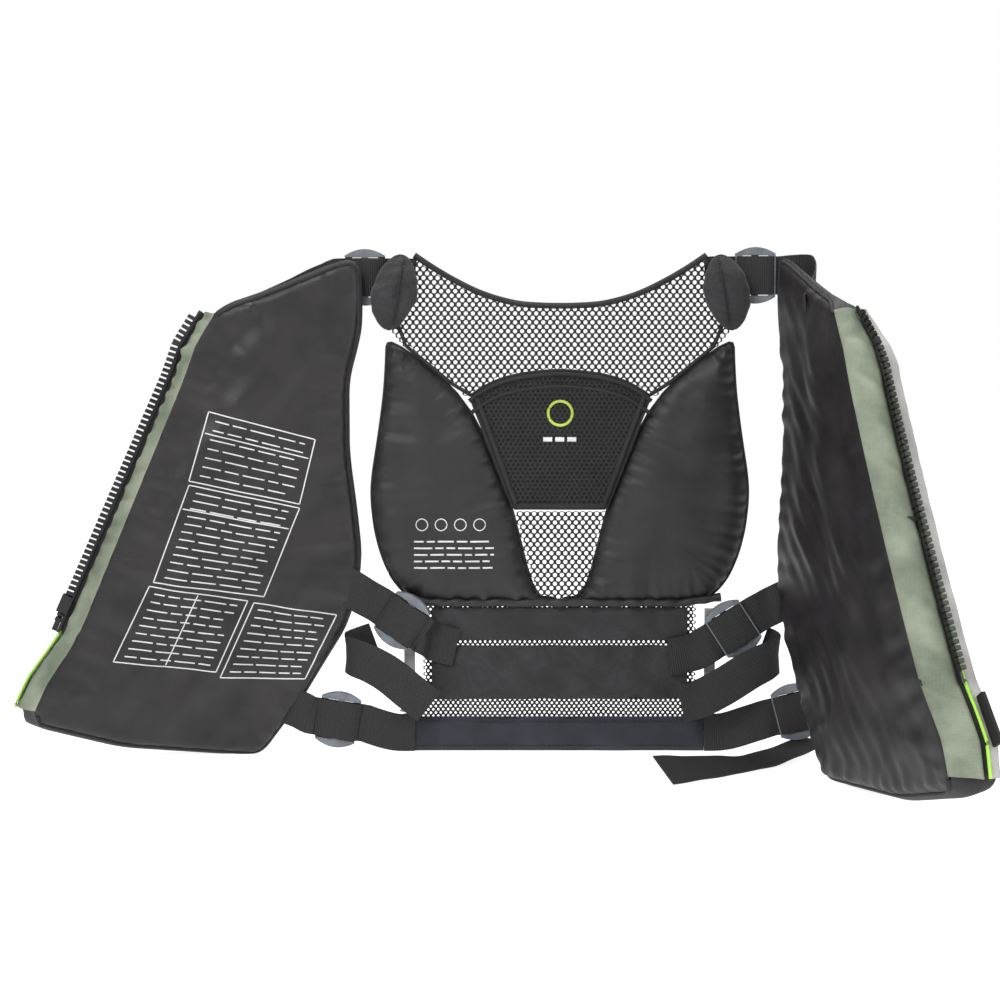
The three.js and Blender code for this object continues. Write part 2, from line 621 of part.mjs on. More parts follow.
// the free end of the wearer's left waist strap lies on the floor
add("waist_tail_l", strap([
  [258, -24, 14.5], [244, -33, 14.1], [222, -48, 9], [194, -66, 4.6], [150, -98, 7], [93, -139, 12],
], {
  turns: [[0, [0.62, -0.78, 0.02]], [0.4, [0.6, -0.79, -0.1]], [1, [0.5, -0.62, -0.53]]],
  steps: 12,
}), WEBBING, 0.7);

// the shoulder straps run through their adjusters behind the shoulder pads
add("shoulder_strap_back_r", strap([
  [-144.5, 10.05, 476.5], [-156, 10.3, 477], [-168, 12.4, 477], [-173, 12.6, 477],
  [-214, 12.6, 477], [-219, 12.6, 477],
], { steps: 14 }), WEBBING, 0.7);
add("shoulder_strap_back_l", strap([
  [144.5, 10.2, 478.5], [156, 10.3, 479], [168, 12.4, 479], [173, 12.6, 479],
  [214, 12.6, 479], [219, 12.6, 479],
], { steps: 14 }), WEBBING, 0.7);
add("shoulder_strap_front_r", cut(strap([
  [-229, 12.6, 474], [-243, 11, 468], [-262, 6, 458], [-290, 2, 445],
], { steps: 8 }), blanks.r), WEBBING, 0.7);
add("shoulder_strap_front_l", cut(strap([
  [244, -15, 479], [246, -31, 474], [244, -52, 462], [236, -76, 448], [228, -96, 438],
], { steps: 10 }), blanks.l), WEBBING, 0.7);

// the origin is the middle of the whole object's box, on the floor
const box = new THREE.Box3().setFromObject(object);
const centre = box.getCenter(V(0, 0, 0));
object.position.set(-centre.x, -centre.y, -box.min.z);

export default object;
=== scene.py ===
"""Looks for a paddling life jacket that stands open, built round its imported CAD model.

Lengths are in millimetres in the jacket's own frame until make() turns them into metres:
the origin is on the floor under the middle of the waist band, X runs to the wearer's left,
the wearer faces -Y and Z is up. Names ending in _r are on the wearer's right (-X).
"""

import json
import math

import bmesh
import bpy
import numpy as np
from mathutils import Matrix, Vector
from mathutils.geometry import delaunay_2d_cdt


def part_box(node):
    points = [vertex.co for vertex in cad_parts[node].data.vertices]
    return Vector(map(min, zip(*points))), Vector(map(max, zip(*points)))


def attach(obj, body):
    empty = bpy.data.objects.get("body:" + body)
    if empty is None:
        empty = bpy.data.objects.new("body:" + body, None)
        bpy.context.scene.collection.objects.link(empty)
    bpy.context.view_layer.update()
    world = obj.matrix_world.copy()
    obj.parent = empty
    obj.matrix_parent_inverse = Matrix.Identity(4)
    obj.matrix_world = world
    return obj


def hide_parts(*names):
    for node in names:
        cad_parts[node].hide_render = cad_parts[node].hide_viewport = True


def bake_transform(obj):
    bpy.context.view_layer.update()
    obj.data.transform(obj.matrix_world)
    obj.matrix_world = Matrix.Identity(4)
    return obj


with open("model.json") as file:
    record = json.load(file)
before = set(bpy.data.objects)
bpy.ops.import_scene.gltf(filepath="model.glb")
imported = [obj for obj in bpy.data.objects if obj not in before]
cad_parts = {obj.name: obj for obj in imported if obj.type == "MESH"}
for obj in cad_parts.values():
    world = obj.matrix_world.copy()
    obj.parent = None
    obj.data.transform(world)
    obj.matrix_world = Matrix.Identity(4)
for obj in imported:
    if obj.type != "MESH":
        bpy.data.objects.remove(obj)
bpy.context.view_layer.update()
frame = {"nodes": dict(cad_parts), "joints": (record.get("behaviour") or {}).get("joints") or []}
MM = 0.001
SIDES = (("r", -1), ("l", 1))


def jacket(point):
    """A point of the row frame, in metres, as jacket millimetres."""
    return np.asarray(point, float) / MM - ORIGIN


low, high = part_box("waist_band")
ORIGIN = np.array([(low.x + high.x) / 2, (low.y + high.y) / 2, low.z]) / MM


def span(node):
    """Lowest and highest corner of a CAD node, in jacket millimetres."""
    return tuple(jacket(corner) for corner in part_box(node))


# ---------------------------------------------------------------- camera, light, floor
CAMERA_AT = (-60, -1800, 397)
CAMERA_DOWN = 4.52  # degrees
camera = bpy.data.objects.new("camera", bpy.data.cameras.new("camera"))
bpy.context.scene.collection.objects.link(camera)
camera.location = Vector((np.array(CAMERA_AT) + ORIGIN) * MM)
camera.rotation_euler = (math.radians(90 - CAMERA_DOWN), 0, 0)
camera.data.lens = 64.8
camera.data.sensor_width = 36
bpy.context.scene.camera = camera
bpy.context.scene.view_settings.view_transform = "Standard"


def light(name, at, toward, size, power):
    data = bpy.data.lights.new(name, "AREA")
    data.shape = "RECTANGLE"
    data.size, data.size_y = size
    data.energy = power
    lamp = bpy.data.objects.new(name, data)
    bpy.context.scene.collection.objects.link(lamp)
    lamp.location = Vector((np.array(at) + ORIGIN) * MM)
    aim = Vector((np.array(toward, float) - np.array(at, float)).tolist())
    lamp.rotation_euler = aim.to_track_quat("-Z", "Y").to_euler()


light("key", (-900, -1500, 1700), (-60, 0, 200), (0.9, 0.9), 30)
light("fill", (1300, -1300, 1000), (0, 0, 200), (1.0, 1.0), 12)
light("top", (0, 300, 1900), (0, 0, 200), (1.6, 1.0), 26)
world = bpy.data.worlds.new("studio")
bpy.context.scene.world = world
world.use_nodes = True
SEEN_WHITE, AMBIENT = 1.0, 0.26  # strength of the backdrop as seen, and as a light
backdrop = world.node_tree.nodes["Background"]
backdrop.inputs["Color"].default_value = (1, 1, 1, 1)
ray = world.node_tree.nodes.new("ShaderNodeLightPath")
strength = world.node_tree.nodes.new("ShaderNodeMapRange")
strength.inputs["To Min"].default_value = AMBIENT
strength.inputs["To Max"].default_value = SEEN_WHITE
world.node_tree.links.new(ray.outputs["Is Camera Ray"], strength.inputs["Value"])
world.node_tree.links.new(strength.outputs["Result"], backdrop.inputs["Strength"])


# ---------------------------------------------------------------- materials
def srgb(r, g, b):
    """An sRGB colour of 0 to 255 as linear values."""
    values = []
    for c in (r / 255, g / 255, b / 255):
        values.append(((c + 0.055) / 1.055) ** 2.4 if c > 0.04045 else c / 12.92)
    return (*values, 1)


class Nodes:
    """A material's node tree, with short calls for the nodes used here."""

    def __init__(self, name, roughness, metallic=0.0, sheen=0.0, specular=0.5):
        self.material = bpy.data.materials.new(name)
        self.material.use_nodes = True
        self.tree = self.material.node_tree
        self.shader = self.tree.nodes["Principled BSDF"]
        self.shader.inputs["Roughness"].default_value = roughness
        self.shader.inputs["Metallic"].default_value = metallic
        self.shader.inputs["Sheen Weight"].default_value = sheen
        self.shader.inputs["Sheen Roughness"].default_value = 0.5
        self.shader.inputs["Specular IOR Level"].default_value = specular
        self.where = self.tree.nodes.new("ShaderNodeTexCoord")

    def add(self, kind, **inputs):
        node = self.tree.nodes.new(kind)
        for key, value in inputs.items():
            node.inputs[key.replace("_", " ")].default_value = value
        return node

    def link(self, a, b):
        self.tree.links.new(a, b)

    def noise(self, scale, detail=3.0, roughness=0.55, output="Object"):
        node = self.add("ShaderNodeTexNoise", Scale=scale, Detail=detail, Roughness=roughness)
        self.link(self.where.outputs[output], node.inputs["Vector"])
        return node.outputs["Fac"]

    def wave(self, scale, direction, output="Object", distortion=0.0):
        node = self.add("ShaderNodeTexWave", Scale=scale, Distortion=distortion)
        node.bands_direction = direction
        self.link(self.where.outputs[output], node.inputs["Vector"])
        return node.outputs["Fac"]

    def math(self, operation, a, b):
        node = self.tree.nodes.new("ShaderNodeMath")
        node.operation = operation
        for i, value in enumerate((a, b)):
            if isinstance(value, (int, float)):
                node.inputs[i].default_value = value
            else:
                self.link(value, node.inputs[i])
        return node.outputs[0]

    def blend(self, factor, a, b):
        node = self.tree.nodes.new("ShaderNodeMix")
        node.data_type = "RGBA"
        self.link(factor, node.inputs["Factor"])
        for socket, value in ((node.inputs[6], a), (node.inputs[7], b)):
            if isinstance(value, tuple):
                socket.default_value = value
            else:
                self.link(value, socket)
        return node.outputs[2]

    def ramp(self, value, low_end, high_end):
        node = self.tree.nodes.new("ShaderNodeMapRange")
        self.link(value, node.inputs["Value"])
        node.inputs["From Min"].default_value = low_end
        node.inputs["From Max"].default_value = high_end
        return node.outputs["Result"]

    def colour(self, dark, light_one, factor):
        self.link(self.blend(factor, dark, light_one), self.shader.inputs["Base Color"])

    def rough(self, value, least, most):
        node = self.tree.nodes.new("ShaderNodeMapRange")
        self.link(value, node.inputs["Value"])
        node.inputs["To Min"].default_value = least
        node.inputs["To Max"].default_value = most
        self.link(node.outputs["Result"], self.shader.inputs["Roughness"])

    def bump(self, height, strength, distance):
        node = self.add("ShaderNodeBump", Strength=strength, Distance=distance * MM)
        self.link(height, node.inputs["Height"])
        self.link(node.outputs["Normal"], self.shader.inputs["Normal"])


def woven(name, dark, light_one, roughness, thread=0.9, depth=0.25, sheen=0.0, crease=0.0, specular=0.5):
    """Plain woven cloth: warp and weft of the given thread spacing, uneven dye, fine creases, and painted
    shade that darkens the hollows of the weave.
    """
    n = Nodes(name, roughness, sheen=sheen, specular=specular)
    weave = n.math("MULTIPLY", n.wave(0.3 / (thread * MM), "X"), n.wave(0.3 / (thread * MM), "Z"))
    mottled = n.noise(26, 5.0)
    # colour: random dye tone from the noise, plus painted shade where the weave is low in its bump
    n.colour(srgb(*dark), srgb(*light_one), n.ramp(n.math("ADD", mottled, n.math("MULTIPLY", weave, 0.25)),
        0.35, 0.8))
    n.rough(n.noise(60), roughness - 0.07, roughness + 0.1)
    height = n.math("ADD", n.math("MULTIPLY", weave, depth), n.math("MULTIPLY", n.noise(38, 4.0), crease))
    n.bump(n.math("ADD", height, n.math("MULTIPLY", n.noise(900, 2.0), 0.15)), 0.6, 1.0)
    return n.material


def ribbed(name, dark, light_one, roughness, rib=2.2, sheen=0.0):
    """Webbing: ribs across its width, and a woven edge, from the coordinates that strap() lays out. Its
    grooves are painted darker as shade.
    """
    n = Nodes(name, roughness, sheen=sheen)
    ribs = n.wave(0.314 / rib, "X", output="UV")
    fine = n.wave(0.314 / 1.1, "Y", output="UV", distortion=0.6)
    mottled = n.noise(45, 4.0)
    body = n.math("ADD", n.math("MULTIPLY", ribs, 0.7), n.math("MULTIPLY", fine, 0.3))
    # colour: random tone from the noise, plus painted shade where the ribs and fine weave are low in the
    # bump
    n.colour(srgb(*dark), srgb(*light_one), n.ramp(n.math("ADD", n.math("MULTIPLY", body, 0.6),
        n.math("MULTIPLY", mottled, 0.5)), 0.2, 1.0))
    n.rough(mottled, roughness - 0.05, roughness + 0.12)
    n.bump(body, 0.9, 0.55)
    return n.material


def moulded(name, dark, light_one, roughness, grain=600, depth=0.08):
    """Injection-moulded plastic with a fine grain and a few rubbed patches."""
    n = Nodes(name, roughness)
    wear = n.noise(70, 5.0)
    n.colour(srgb(*dark), srgb(*light_one), n.ramp(wear, 0.3, 0.75))
    n.rough(wear, roughness - 0.08, roughness + 0.12)
    n.bump(n.noise(grain, 2.0), 0.5, depth)
    return n.material


def knitted(name, dark, light_one, roughness, pitch=2.4, depth=0.5, sheen=0.2):
    """Fine spacer mesh: rows of small round pits, painted dark inside as shade."""
    n = Nodes(name, roughness, sheen=sheen)
    cells = n.tree.nodes.new("ShaderNodeTexVoronoi")
    cells.inputs["Scale"].default_value = 1 / (pitch * MM)
    cells.inputs["Randomness"].default_value = 0.25
    n.link(n.where.outputs["Object"], cells.inputs["Vector"])
    pits = n.ramp(cells.outputs["Distance"], 0.1, 0.55)
    # colour: painted shade darkens each pit, low in the bump, times random tone from the noise
    n.colour(srgb(*dark), srgb(*light_one), n.math("MULTIPLY", pits, n.ramp(n.noise(30), 0.2, 0.7)))
    n.bump(pits, 0.8, depth)
    return n.material


LINING = woven("lining_nylon", (22, 20, 22), (40, 37, 39), 0.42, thread=0.8, depth=0.1, crease=0.6,
    specular=0.45)
SHELL = woven("shell_nylon", (22, 22, 23), (40, 39, 40), 0.55, thread=1.0, depth=0.2, crease=0.5)
PAD = woven("pad_nylon", (20, 19, 21), (34, 33, 35), 0.5, thread=0.8, depth=0.1, crease=0.4)
OLIVE = woven("gusset_nylon", (100, 110, 93), (150, 158, 138), 0.6, thread=1.0, depth=0.2, crease=0.8)
PLACKET = woven("placket_cloth", (150, 148, 146), (196, 194, 191), 0.6, thread=1.2, depth=0.3, crease=0.3)
NAVY = woven("waist_knit", (26, 27, 36), (42, 44, 56), 0.72, thread=1.2, depth=0.5, sheen=0.15, crease=0.3)
BINDING = woven("binding_tape", (118, 117, 117), (172, 170, 170), 0.6, thread=1.0, depth=0.4, crease=0.3)
EDGE = woven("edge_tape", (16, 15, 17), (30, 29, 31), 0.65, thread=1.0, depth=0.4)
NET = woven("open_net", (12, 11, 13), (26, 25, 28), 0.6, thread=0.7, depth=0.3)
FINE_SPACER = knitted("fine_spacer", (14, 13, 15), (42, 41, 44), 0.75, pitch=1.8, depth=0.35)
WEB = ribbed("webbing", (10, 10, 11), (40, 40, 41), 0.62)
LIME = woven("piping_cloth", (150, 214, 60), (190, 244, 100), 0.5, thread=0.8, depth=0.3)
GREY_PLASTIC = moulded("adjuster_plastic", (88, 94, 100), (122, 129, 136), 0.42)
BLACK_PLASTIC = moulded("zip_plastic", (10, 10, 11), (24, 24, 26), 0.36)
THREAD = woven("thread", (30, 29, 31), (58, 57, 59), 0.6, thread=0.5, depth=0.3)
GREY_THREAD = woven("grey_thread", (150, 148, 146), (196, 194, 192), 0.6, thread=0.5, depth=0.3)
PRINT = woven("white_print", (196, 196, 196), (232, 232, 232), 0.55, thread=0.8, depth=0.1)
LIME_PRINT = woven("lime_print", (150, 178, 60), (196, 222, 96), 0.55, thread=0.8, depth=0.2)
TAPE = woven("zip_tape", (18, 17, 18), (34, 33, 34), 0.7, thread=1.0, depth=0.4)


# ---------------------------------------------------------------- mesh tools
def make(name, points, faces, material, body=None, slot=None, replaces=(), uv=None, sharp=50, closed=True):
    """A mesh object from jacket millimetres, riding on a CAD body."""
    mesh = bpy.data.meshes.new(name)
    mesh.from_pydata(((np.asarray(points, float) + ORIGIN) * MM).tolist(), [], [list(map(int,
        f)) for f in faces])
    mesh.validate()
    if uv is not None:
        layer = mesh.uv_layers.new(name="run")
        index = np.zeros(len(mesh.loops), np.int32)
        mesh.loops.foreach_get("vertex_index", index)
        layer.data.foreach_set("uv", np.asarray(uv, np.float32)[index].ravel())
    if closed:
        b = bmesh.new()
        b.from_mesh(mesh)
        bmesh.ops.recalc_face_normals(b, faces=b.faces)
        b.to_mesh(mesh)
        b.free()
    mesh.polygons.foreach_set("use_smooth", [True] * len(mesh.polygons))
    if sharp:
        mesh.set_sharp_from_angle(angle=math.radians(sharp))
    mesh.materials.append(material)
    obj = bpy.data.objects.new(name, mesh)
    bpy.context.scene.collection.objects.link(obj)
    if replaces:
        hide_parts(*replaces)
    if body:
        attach(obj, body)
    return obj


def ripple(seed, wavelength, *coordinates):
    """Smooth seeded noise, about -1 to 1, over one or more coordinates in millimetres."""
    rng = np.random.default_rng(seed)
    total = 0
    for _ in range(7):
        direction = rng.normal(size=len(coordinates))
        direction /= np.linalg.norm(direction)
        rate = 2 * math.pi / (wavelength * rng.uniform(0.7, 1.6))
        phase = sum(c * d for c, d in zip(coordinates, direction)) * rate
        total = total + np.sin(phase + rng.uniform(0, 2 * math.pi))
    return total / 2.6


def puckers(d, s, seed, size, reach=9, wave=15):
    """Gathers that start at a seam and die out, for distance d from it and place s along it."""
    short = ripple(seed, wave, s) * np.exp(-d / reach)
    long = ripple(seed + 1, wave * 2.1, s) * np.exp(-d / (2.6 * reach))
    return size * (short + 0.7 * long) * (1 - np.exp(-d / 2.5))


def smooth(x, a, b):
    t = np.clip((x - a) / (b - a), 0, 1)
    return t * t * (3 - 2 * t)


def rounded(d, radius):
    """How far a rounded edge falls away, for distance d from it."""
    k = 1 - np.clip(d / radius, 0, 1)
    return radius * (1 - np.sqrt(1 - k * k))


def resample(points, step, closed=False):
    """Points at even spacing along a line of any dimension."""
    p = np.asarray(points, float)
    if closed:
        p = np.vstack([p, p[:1]])
    length = np.concatenate([[0], np.cumsum(np.linalg.norm(np.diff(p, axis=0), axis=1))])
    count = max(2, int(round(length[-1] / step)))
    at = np.linspace(0, length[-1], count + 1)
    if closed:
        at = at[:-1]
    return np.stack([np.interp(at, length, p[:, k]) for k in range(p.shape[1])], axis=1)


def soften(points, rounds=2):
    """A closed outline with its corners cut."""
    p = np.asarray(points, float)
    for _ in range(rounds):
        n = np.roll(p, -1, axis=0)
        p = np.stack([0.78 * p + 0.22 * n, 0.22 * p + 0.78 * n], axis=1).reshape(-1, p.shape[1])
    return p


def curve(points, step=4.0):
    """A smooth line through points: centripetal Catmull-Rom, resampled at even spacing."""
    p = np.asarray(points, float)
    p = np.vstack([2 * p[0] - p[1], p, 2 * p[-1] - p[-2]])
    out = []
    for i in range(1, len(p) - 2):
        q = p[i - 1:i + 3]
        t0, t1, t2, t3 = 0.0, *(np.cumsum([max(1e-6,
            np.linalg.norm(q[k + 1] - q[k])) ** 0.5 for k in range(3)]))
        x = np.linspace(t1, t2, 14, endpoint=False)[:, None]
        a1 = (t1 - x) / (t1 - t0) * q[0] + (x - t0) / (t1 - t0) * q[1]
        a2 = (t2 - x) / (t2 - t1) * q[1] + (x - t1) / (t2 - t1) * q[2]
        a3 = (t3 - x) / (t3 - t2) * q[2] + (x - t2) / (t3 - t2) * q[3]
        b1 = (t2 - x) / (t2 - t0) * a1 + (x - t0) / (t2 - t0) * a2
        b2 = (t3 - x) / (t3 - t1) * a2 + (x - t1) / (t3 - t1) * a3
        out.append((t2 - x) / (t2 - t1) * b1 + (x - t1) / (t2 - t1) * b2)
    out.append(p[-2:-1])
    return resample(np.vstack(out), step)


def area_of(loop):
    x, y = loop[:, 0], loop[:, 1]
    return 0.5 * np.sum(x * np.roll(y, -1) - y * np.roll(x, -1))


def field(points, loop):
    """Distance from each flat point to an outline, and how far along the outline the nearest place is."""
    a = loop
    b = np.roll(loop, -1, axis=0)
    along = b - a
    length = np.linalg.norm(along, axis=1)
    start = np.concatenate([[0], np.cumsum(length)[:-1]])
    best = np.full(len(points), 1e9)
    where = np.zeros(len(points))
    for i in range(len(a)):
        rel = points - a[i]
        t = np.clip(rel @ along[i] / max(length[i] ** 2, 1e-9), 0, 1)
        d = np.linalg.norm(rel - t[:, None] * along[i], axis=1)
        closer = d < best
        best[closer] = d[closer]
        where[closer] = start[i] + t[closer] * length[i]
    return best, where


def inside(points, loop):
    """Which flat points lie inside an outline."""
    hit = np.zeros(len(points), bool)
    for a, b in zip(loop, np.roll(loop, -1, axis=0)):
        crosses = (a[1] > points[:, 1]) != (b[1] > points[:, 1])
        with np.errstate(divide="ignore", invalid="ignore"):
            x = (b[0] - a[0]) * (points[:, 1] - a[1]) / (b[1] - a[1]) + a[0]
        hit ^= crosses & (points[:, 0] < x)
    return hit


def lattice(loop, step_x, step_y):
    """Staggered grid of points over an outline's box."""
    lo, hi = loop.min(0), loop.max(0)
    rows = np.arange(lo[1] - step_y, hi[1] + step_y, step_y)
    points = []
    for j, y in enumerate(rows):
        x = np.arange(lo[0] - step_x, hi[0] + step_x, step_x) + (j % 2) * step_x / 2
        points.append(np.stack([x, np.full(len(x), y)], axis=1))
    return np.vstack(points)


def fill(loop, step):
    """Points and triangles that fill an outline. The outline's own points come first, in order."""
    rim = resample(loop, step, closed=True)
    if area_of(rim) < 0:
        rim = rim[::-1]
    grid = lattice(rim, step, step * 0.87)
    grid = grid[inside(grid, rim)]
    grid = grid[field(grid, rim)[0] > 0.62 * step]
    points = np.vstack([rim, grid])
    edges = [(i, (i + 1) % len(rim)) for i in range(len(rim))]
    found = delaunay_2d_cdt([Vector(p) for p in points], edges, [list(range(len(rim)))], 1, 1e-5)
    home = [origin[0] for origin in found[3]]
    flat = points[home]
    order = {o: i for i, o in enumerate(home)}
    return flat, [list(f) for f in found[2]], [order[i] for i in range(len(rim))], rim


def slab(name, loop, place, front, back, material, step=3.0, wall=2, bulge=0.0, **options):
    """A closed soft piece over a flat outline. front and back give its two faces' depth from
    (points, distance to the edge, place along the edge); the wall between them may bulge."""
    flat, triangles, rim_index, rim = fill(loop, step)
    d, s = field(flat, rim)
    w_front, w_back = front(flat, d, s), back(flat, d, s)
    n = len(flat)
    points = [place(flat[:, 0], flat[:, 1], w_front), place(flat[:, 0], flat[:, 1], w_back)]
    faces = [f for f in triangles] + [[i + n for i in f[::-1]] for f in triangles]
    nearby = np.roll(rim, -1, axis=0) - np.roll(rim, 1, axis=0)
    out = np.stack([nearby[:, 1], -nearby[:, 0]], axis=1)
    out /= np.linalg.norm(out, axis=1)[:, None]
    index = np.array(rim_index)
    rows = [index]
    base = 2 * n
    swell = bulge(rim)[:, None] if callable(bulge) else bulge
    for k in range(1, wall):
        t = k / wall
        edge = rim + out * swell * math.sin(math.pi * t)
        depth = w_front[index] * (1 - t) + w_back[index] * t
        points.append(place(edge[:, 0], edge[:, 1], depth))
        rows.append(np.arange(len(rim)) + base)
        base += len(rim)
    rows.append(index + n)
    for upper, lower in zip(rows, rows[1:]):
        for i in range(len(rim)):
            j = (i + 1) % len(rim)
            faces.append([upper[i], lower[i], lower[j], upper[j]])
    return make(name, np.vstack(points), faces, material, **options)


def tube(name, path, radius, material, sides=8, closed=False, **options):
    """A round cord along a line of points."""
    p = np.asarray(path, float)
    ahead = np.roll(p, -1, axis=0) - np.roll(p, 1, axis=0)
    if not closed:
        ahead[0], ahead[-1] = p[1] - p[0], p[-1] - p[-2]
    ahead /= np.linalg.norm(ahead, axis=1)[:, None]
    up = np.where(np.abs(ahead[:, 2:3]) < 0.9, np.array([[0, 0, 1.0]]), np.array([[0, 1.0, 0]]))
    u = np.cross(ahead, up)
    u /= np.linalg.norm(u, axis=1)[:, None]
    v = np.cross(u, ahead)
    r = np.broadcast_to(np.asarray(radius, float), (len(p),))[:, None]
    rings = [p + r * (math.cos(a) * u + math.sin(a) * v) for a in np.arange(sides) * 2 * math.pi / sides]
    points = np.stack(rings, axis=1).reshape(-1, 3)
    faces = []
    count = len(p) if closed else len(p) - 1
    for i in range(count):
        j = (i + 1) % len(p)
        for k in range(sides):
            m = (k + 1) % sides
            faces.append([i * sides + k, i * sides + m, j * sides + m, j * sides + k])
    if not closed:
        faces.append(list(range(sides))[::-1])
        faces.append([(len(p) - 1) * sides + k for k in range(sides)])
    return make(name, points, faces, material, **options)


def stitches(name, path, normal, material, length=3.4, gap=1.7, thick=0.45, **options):
    """A row of stitches along a line of points, standing a little off the cloth."""
    p = resample(path, 0.5)
    n = np.broadcast_to(np.asarray(normal, float), p.shape) if np.ndim(normal) == 1 else resample(normal,
        0.5)
    n = np.stack([np.interp(np.linspace(0, 1, len(p)), np.linspace(0, 1, len(n)), n[:,
        k]) for k in range(3)], axis=1)
    count = int(len(p) * 0.5 / (length + gap))
    points, faces = [], []
    for i in range(count):
        a = p[int(i * (length + gap) / 0.5)]
        k = min(len(p) - 1, int((i * (length + gap) + length) / 0.5))
        b = p[k]
        up = n[k] / np.linalg.norm(n[k])
        along = (b - a) / max(np.linalg.norm(b - a), 1e-6)
        side = np.cross(along, up) * thick
        rise = up * thick
        base = len(points)
        for q, lift in ((a, 0.1), (a + (b - a) * 0.25, 1), (a + (b - a) * 0.75, 1), (b, 0.1)):
            points += [q - side - rise, q + side - rise, q + side * 0.6 + rise * lift,
                q - side * 0.6 + rise * lift]
        for j in range(3):
            for m in range(4):
                c = base + 4 * j
                faces.append([c + m, c + (m + 1) % 4, c + 4 + (m + 1) % 4, c + 4 + m])
        faces += [[base + 3, base + 2, base + 1, base], [base + 12, base + 13, base + 14, base + 15]]
    return make(name, points, faces, material, sharp=0, **options)


def strap(name, points, material=WEB, turns=None, width=38.0, thick=1.7, step=3.0, wrinkle=0.0, seed=1,
    **options):
    """Flat webbing along a smooth line. It stands on edge, unless turns give its width direction
    at shares of its length. The edges are a little thinner, as woven selvedges are."""
    p = curve(points, step)
    n = len(p)
    ahead = np.gradient(p, axis=0)
    ahead /= np.linalg.norm(ahead, axis=1)[:, None]
    share = np.linspace(0, 1, n)
    if turns:
        across = np.stack([np.interp(share, [t for t, _ in turns], [d[k] for _,
            d in turns]) for k in range(3)], axis=1)
    else:
        across = np.tile([0.0, 0.0, -1.0], (n, 1))
    across = across - np.sum(across * ahead, axis=1)[:, None] * ahead
    across /= np.linalg.norm(across, axis=1)[:, None]
    normal = np.cross(ahead, across)
    run = np.concatenate([[0], np.cumsum(np.linalg.norm(np.diff(p, axis=0), axis=1))])
    profile = [(-1, 0.5), (-0.985, 0.85), (-0.9, 1), (-0.5, 1), (0, 1), (0.5, 1), (0.9, 1), (0.985, 0.85),
        (1, 0.5)]
    ring = [(a, b) for a, b in profile] + [(a, -b) for a, b in profile[::-1]]
    rows, uv = [], []
    for a, b in ring:
        lift = wrinkle * ripple(seed, 42, run + a * 9) if wrinkle else 0
        rows.append(p + across * (a * width / 2) + normal * (b * thick / 2 + lift)[..., None] if wrinkle
                    else p + across * (a * width / 2) + normal * (b * thick / 2))
        uv.append(np.stack([run, np.full(n, (a + 1) * width / 2)], axis=1))
    count = len(ring)
    points3 = np.stack(rows, axis=1).reshape(-1, 3)
    uv = np.stack(uv, axis=1).reshape(-1, 2)
    faces = []
    for i in range(n - 1):
        for k in range(count):
            m = (k + 1) % count
            faces.append([i * count + k, i * count + m, (i + 1) * count + m, (i + 1) * count + k])
    faces.append(list(range(count))[::-1])
    faces.append([(n - 1) * count + k for k in range(count)])
    return make(name, points3, faces, material, uv=uv, sharp=40, **options)


def net(name, loop, place, pitch, row, hole, material, sides=12, depth=0.9, relief=None, margin=1.0,
    **options):
    """Open mesh: a staggered grid of round holes in a thin knitted sheet."""
    centres = lattice(loop, pitch, row)
    centres = centres[inside(centres, loop)]
    centres = centres[field(centres, loop)[0] > margin]
    tall = row * 4 / 3
    corners = np.array([(0, tall / 2), (pitch / 2, tall / 4), (pitch / 2, -tall / 4), (0, -tall / 2),
        (-pitch / 2, -tall / 4), (-pitch / 2, tall / 4)])
    if sides == 12:
        corners = np.stack([corners, (corners + np.roll(corners, -1, axis=0)) / 2], axis=1).reshape(-1, 2)
    angles = np.arctan2(corners[:, 1] / row, corners[:, 0] / pitch)
    holes = np.stack([np.cos(angles) * hole[0] / 2, np.sin(angles) * hole[1] / 2], axis=1)
    count = len(corners)
    outer = (centres[:, None, :] + corners[None]).reshape(-1, 2)
    key = np.round(outer / 0.05).astype(np.int64)
    _, first, inverse = np.unique(key, axis=0, return_index=True, return_inverse=True)
    inverse = inverse.reshape(-1)
    shared = outer[first]
    inner = (centres[:, None, :] + holes[None]).reshape(-1, 2)
    flat = np.vstack([shared, inner])
    thick = np.concatenate([np.full(len(shared), depth), np.full(len(inner), depth * 0.45)])
    lift = relief(flat) if relief else np.zeros(len(flat))
    n = len(flat)
    points = np.vstack([place(flat[:, 0], flat[:, 1], lift - thick / 2), place(flat[:, 0], flat[:, 1],
        lift + thick / 2)])
    faces = []
    m = len(shared)
    for c in range(len(centres)):
        for k in range(count):
            j = (k + 1) % count
            a, b = inverse[c * count + k], inverse[c * count + j]
            p, q = m + c * count + k, m + c * count + j
            faces.append([a, b, q, p])
            faces.append([a + n, p + n, q + n, b + n])
            faces.append([p, q, q + n, p + n])
    return make(name, points, faces, material, closed=False, sharp=0, **options)


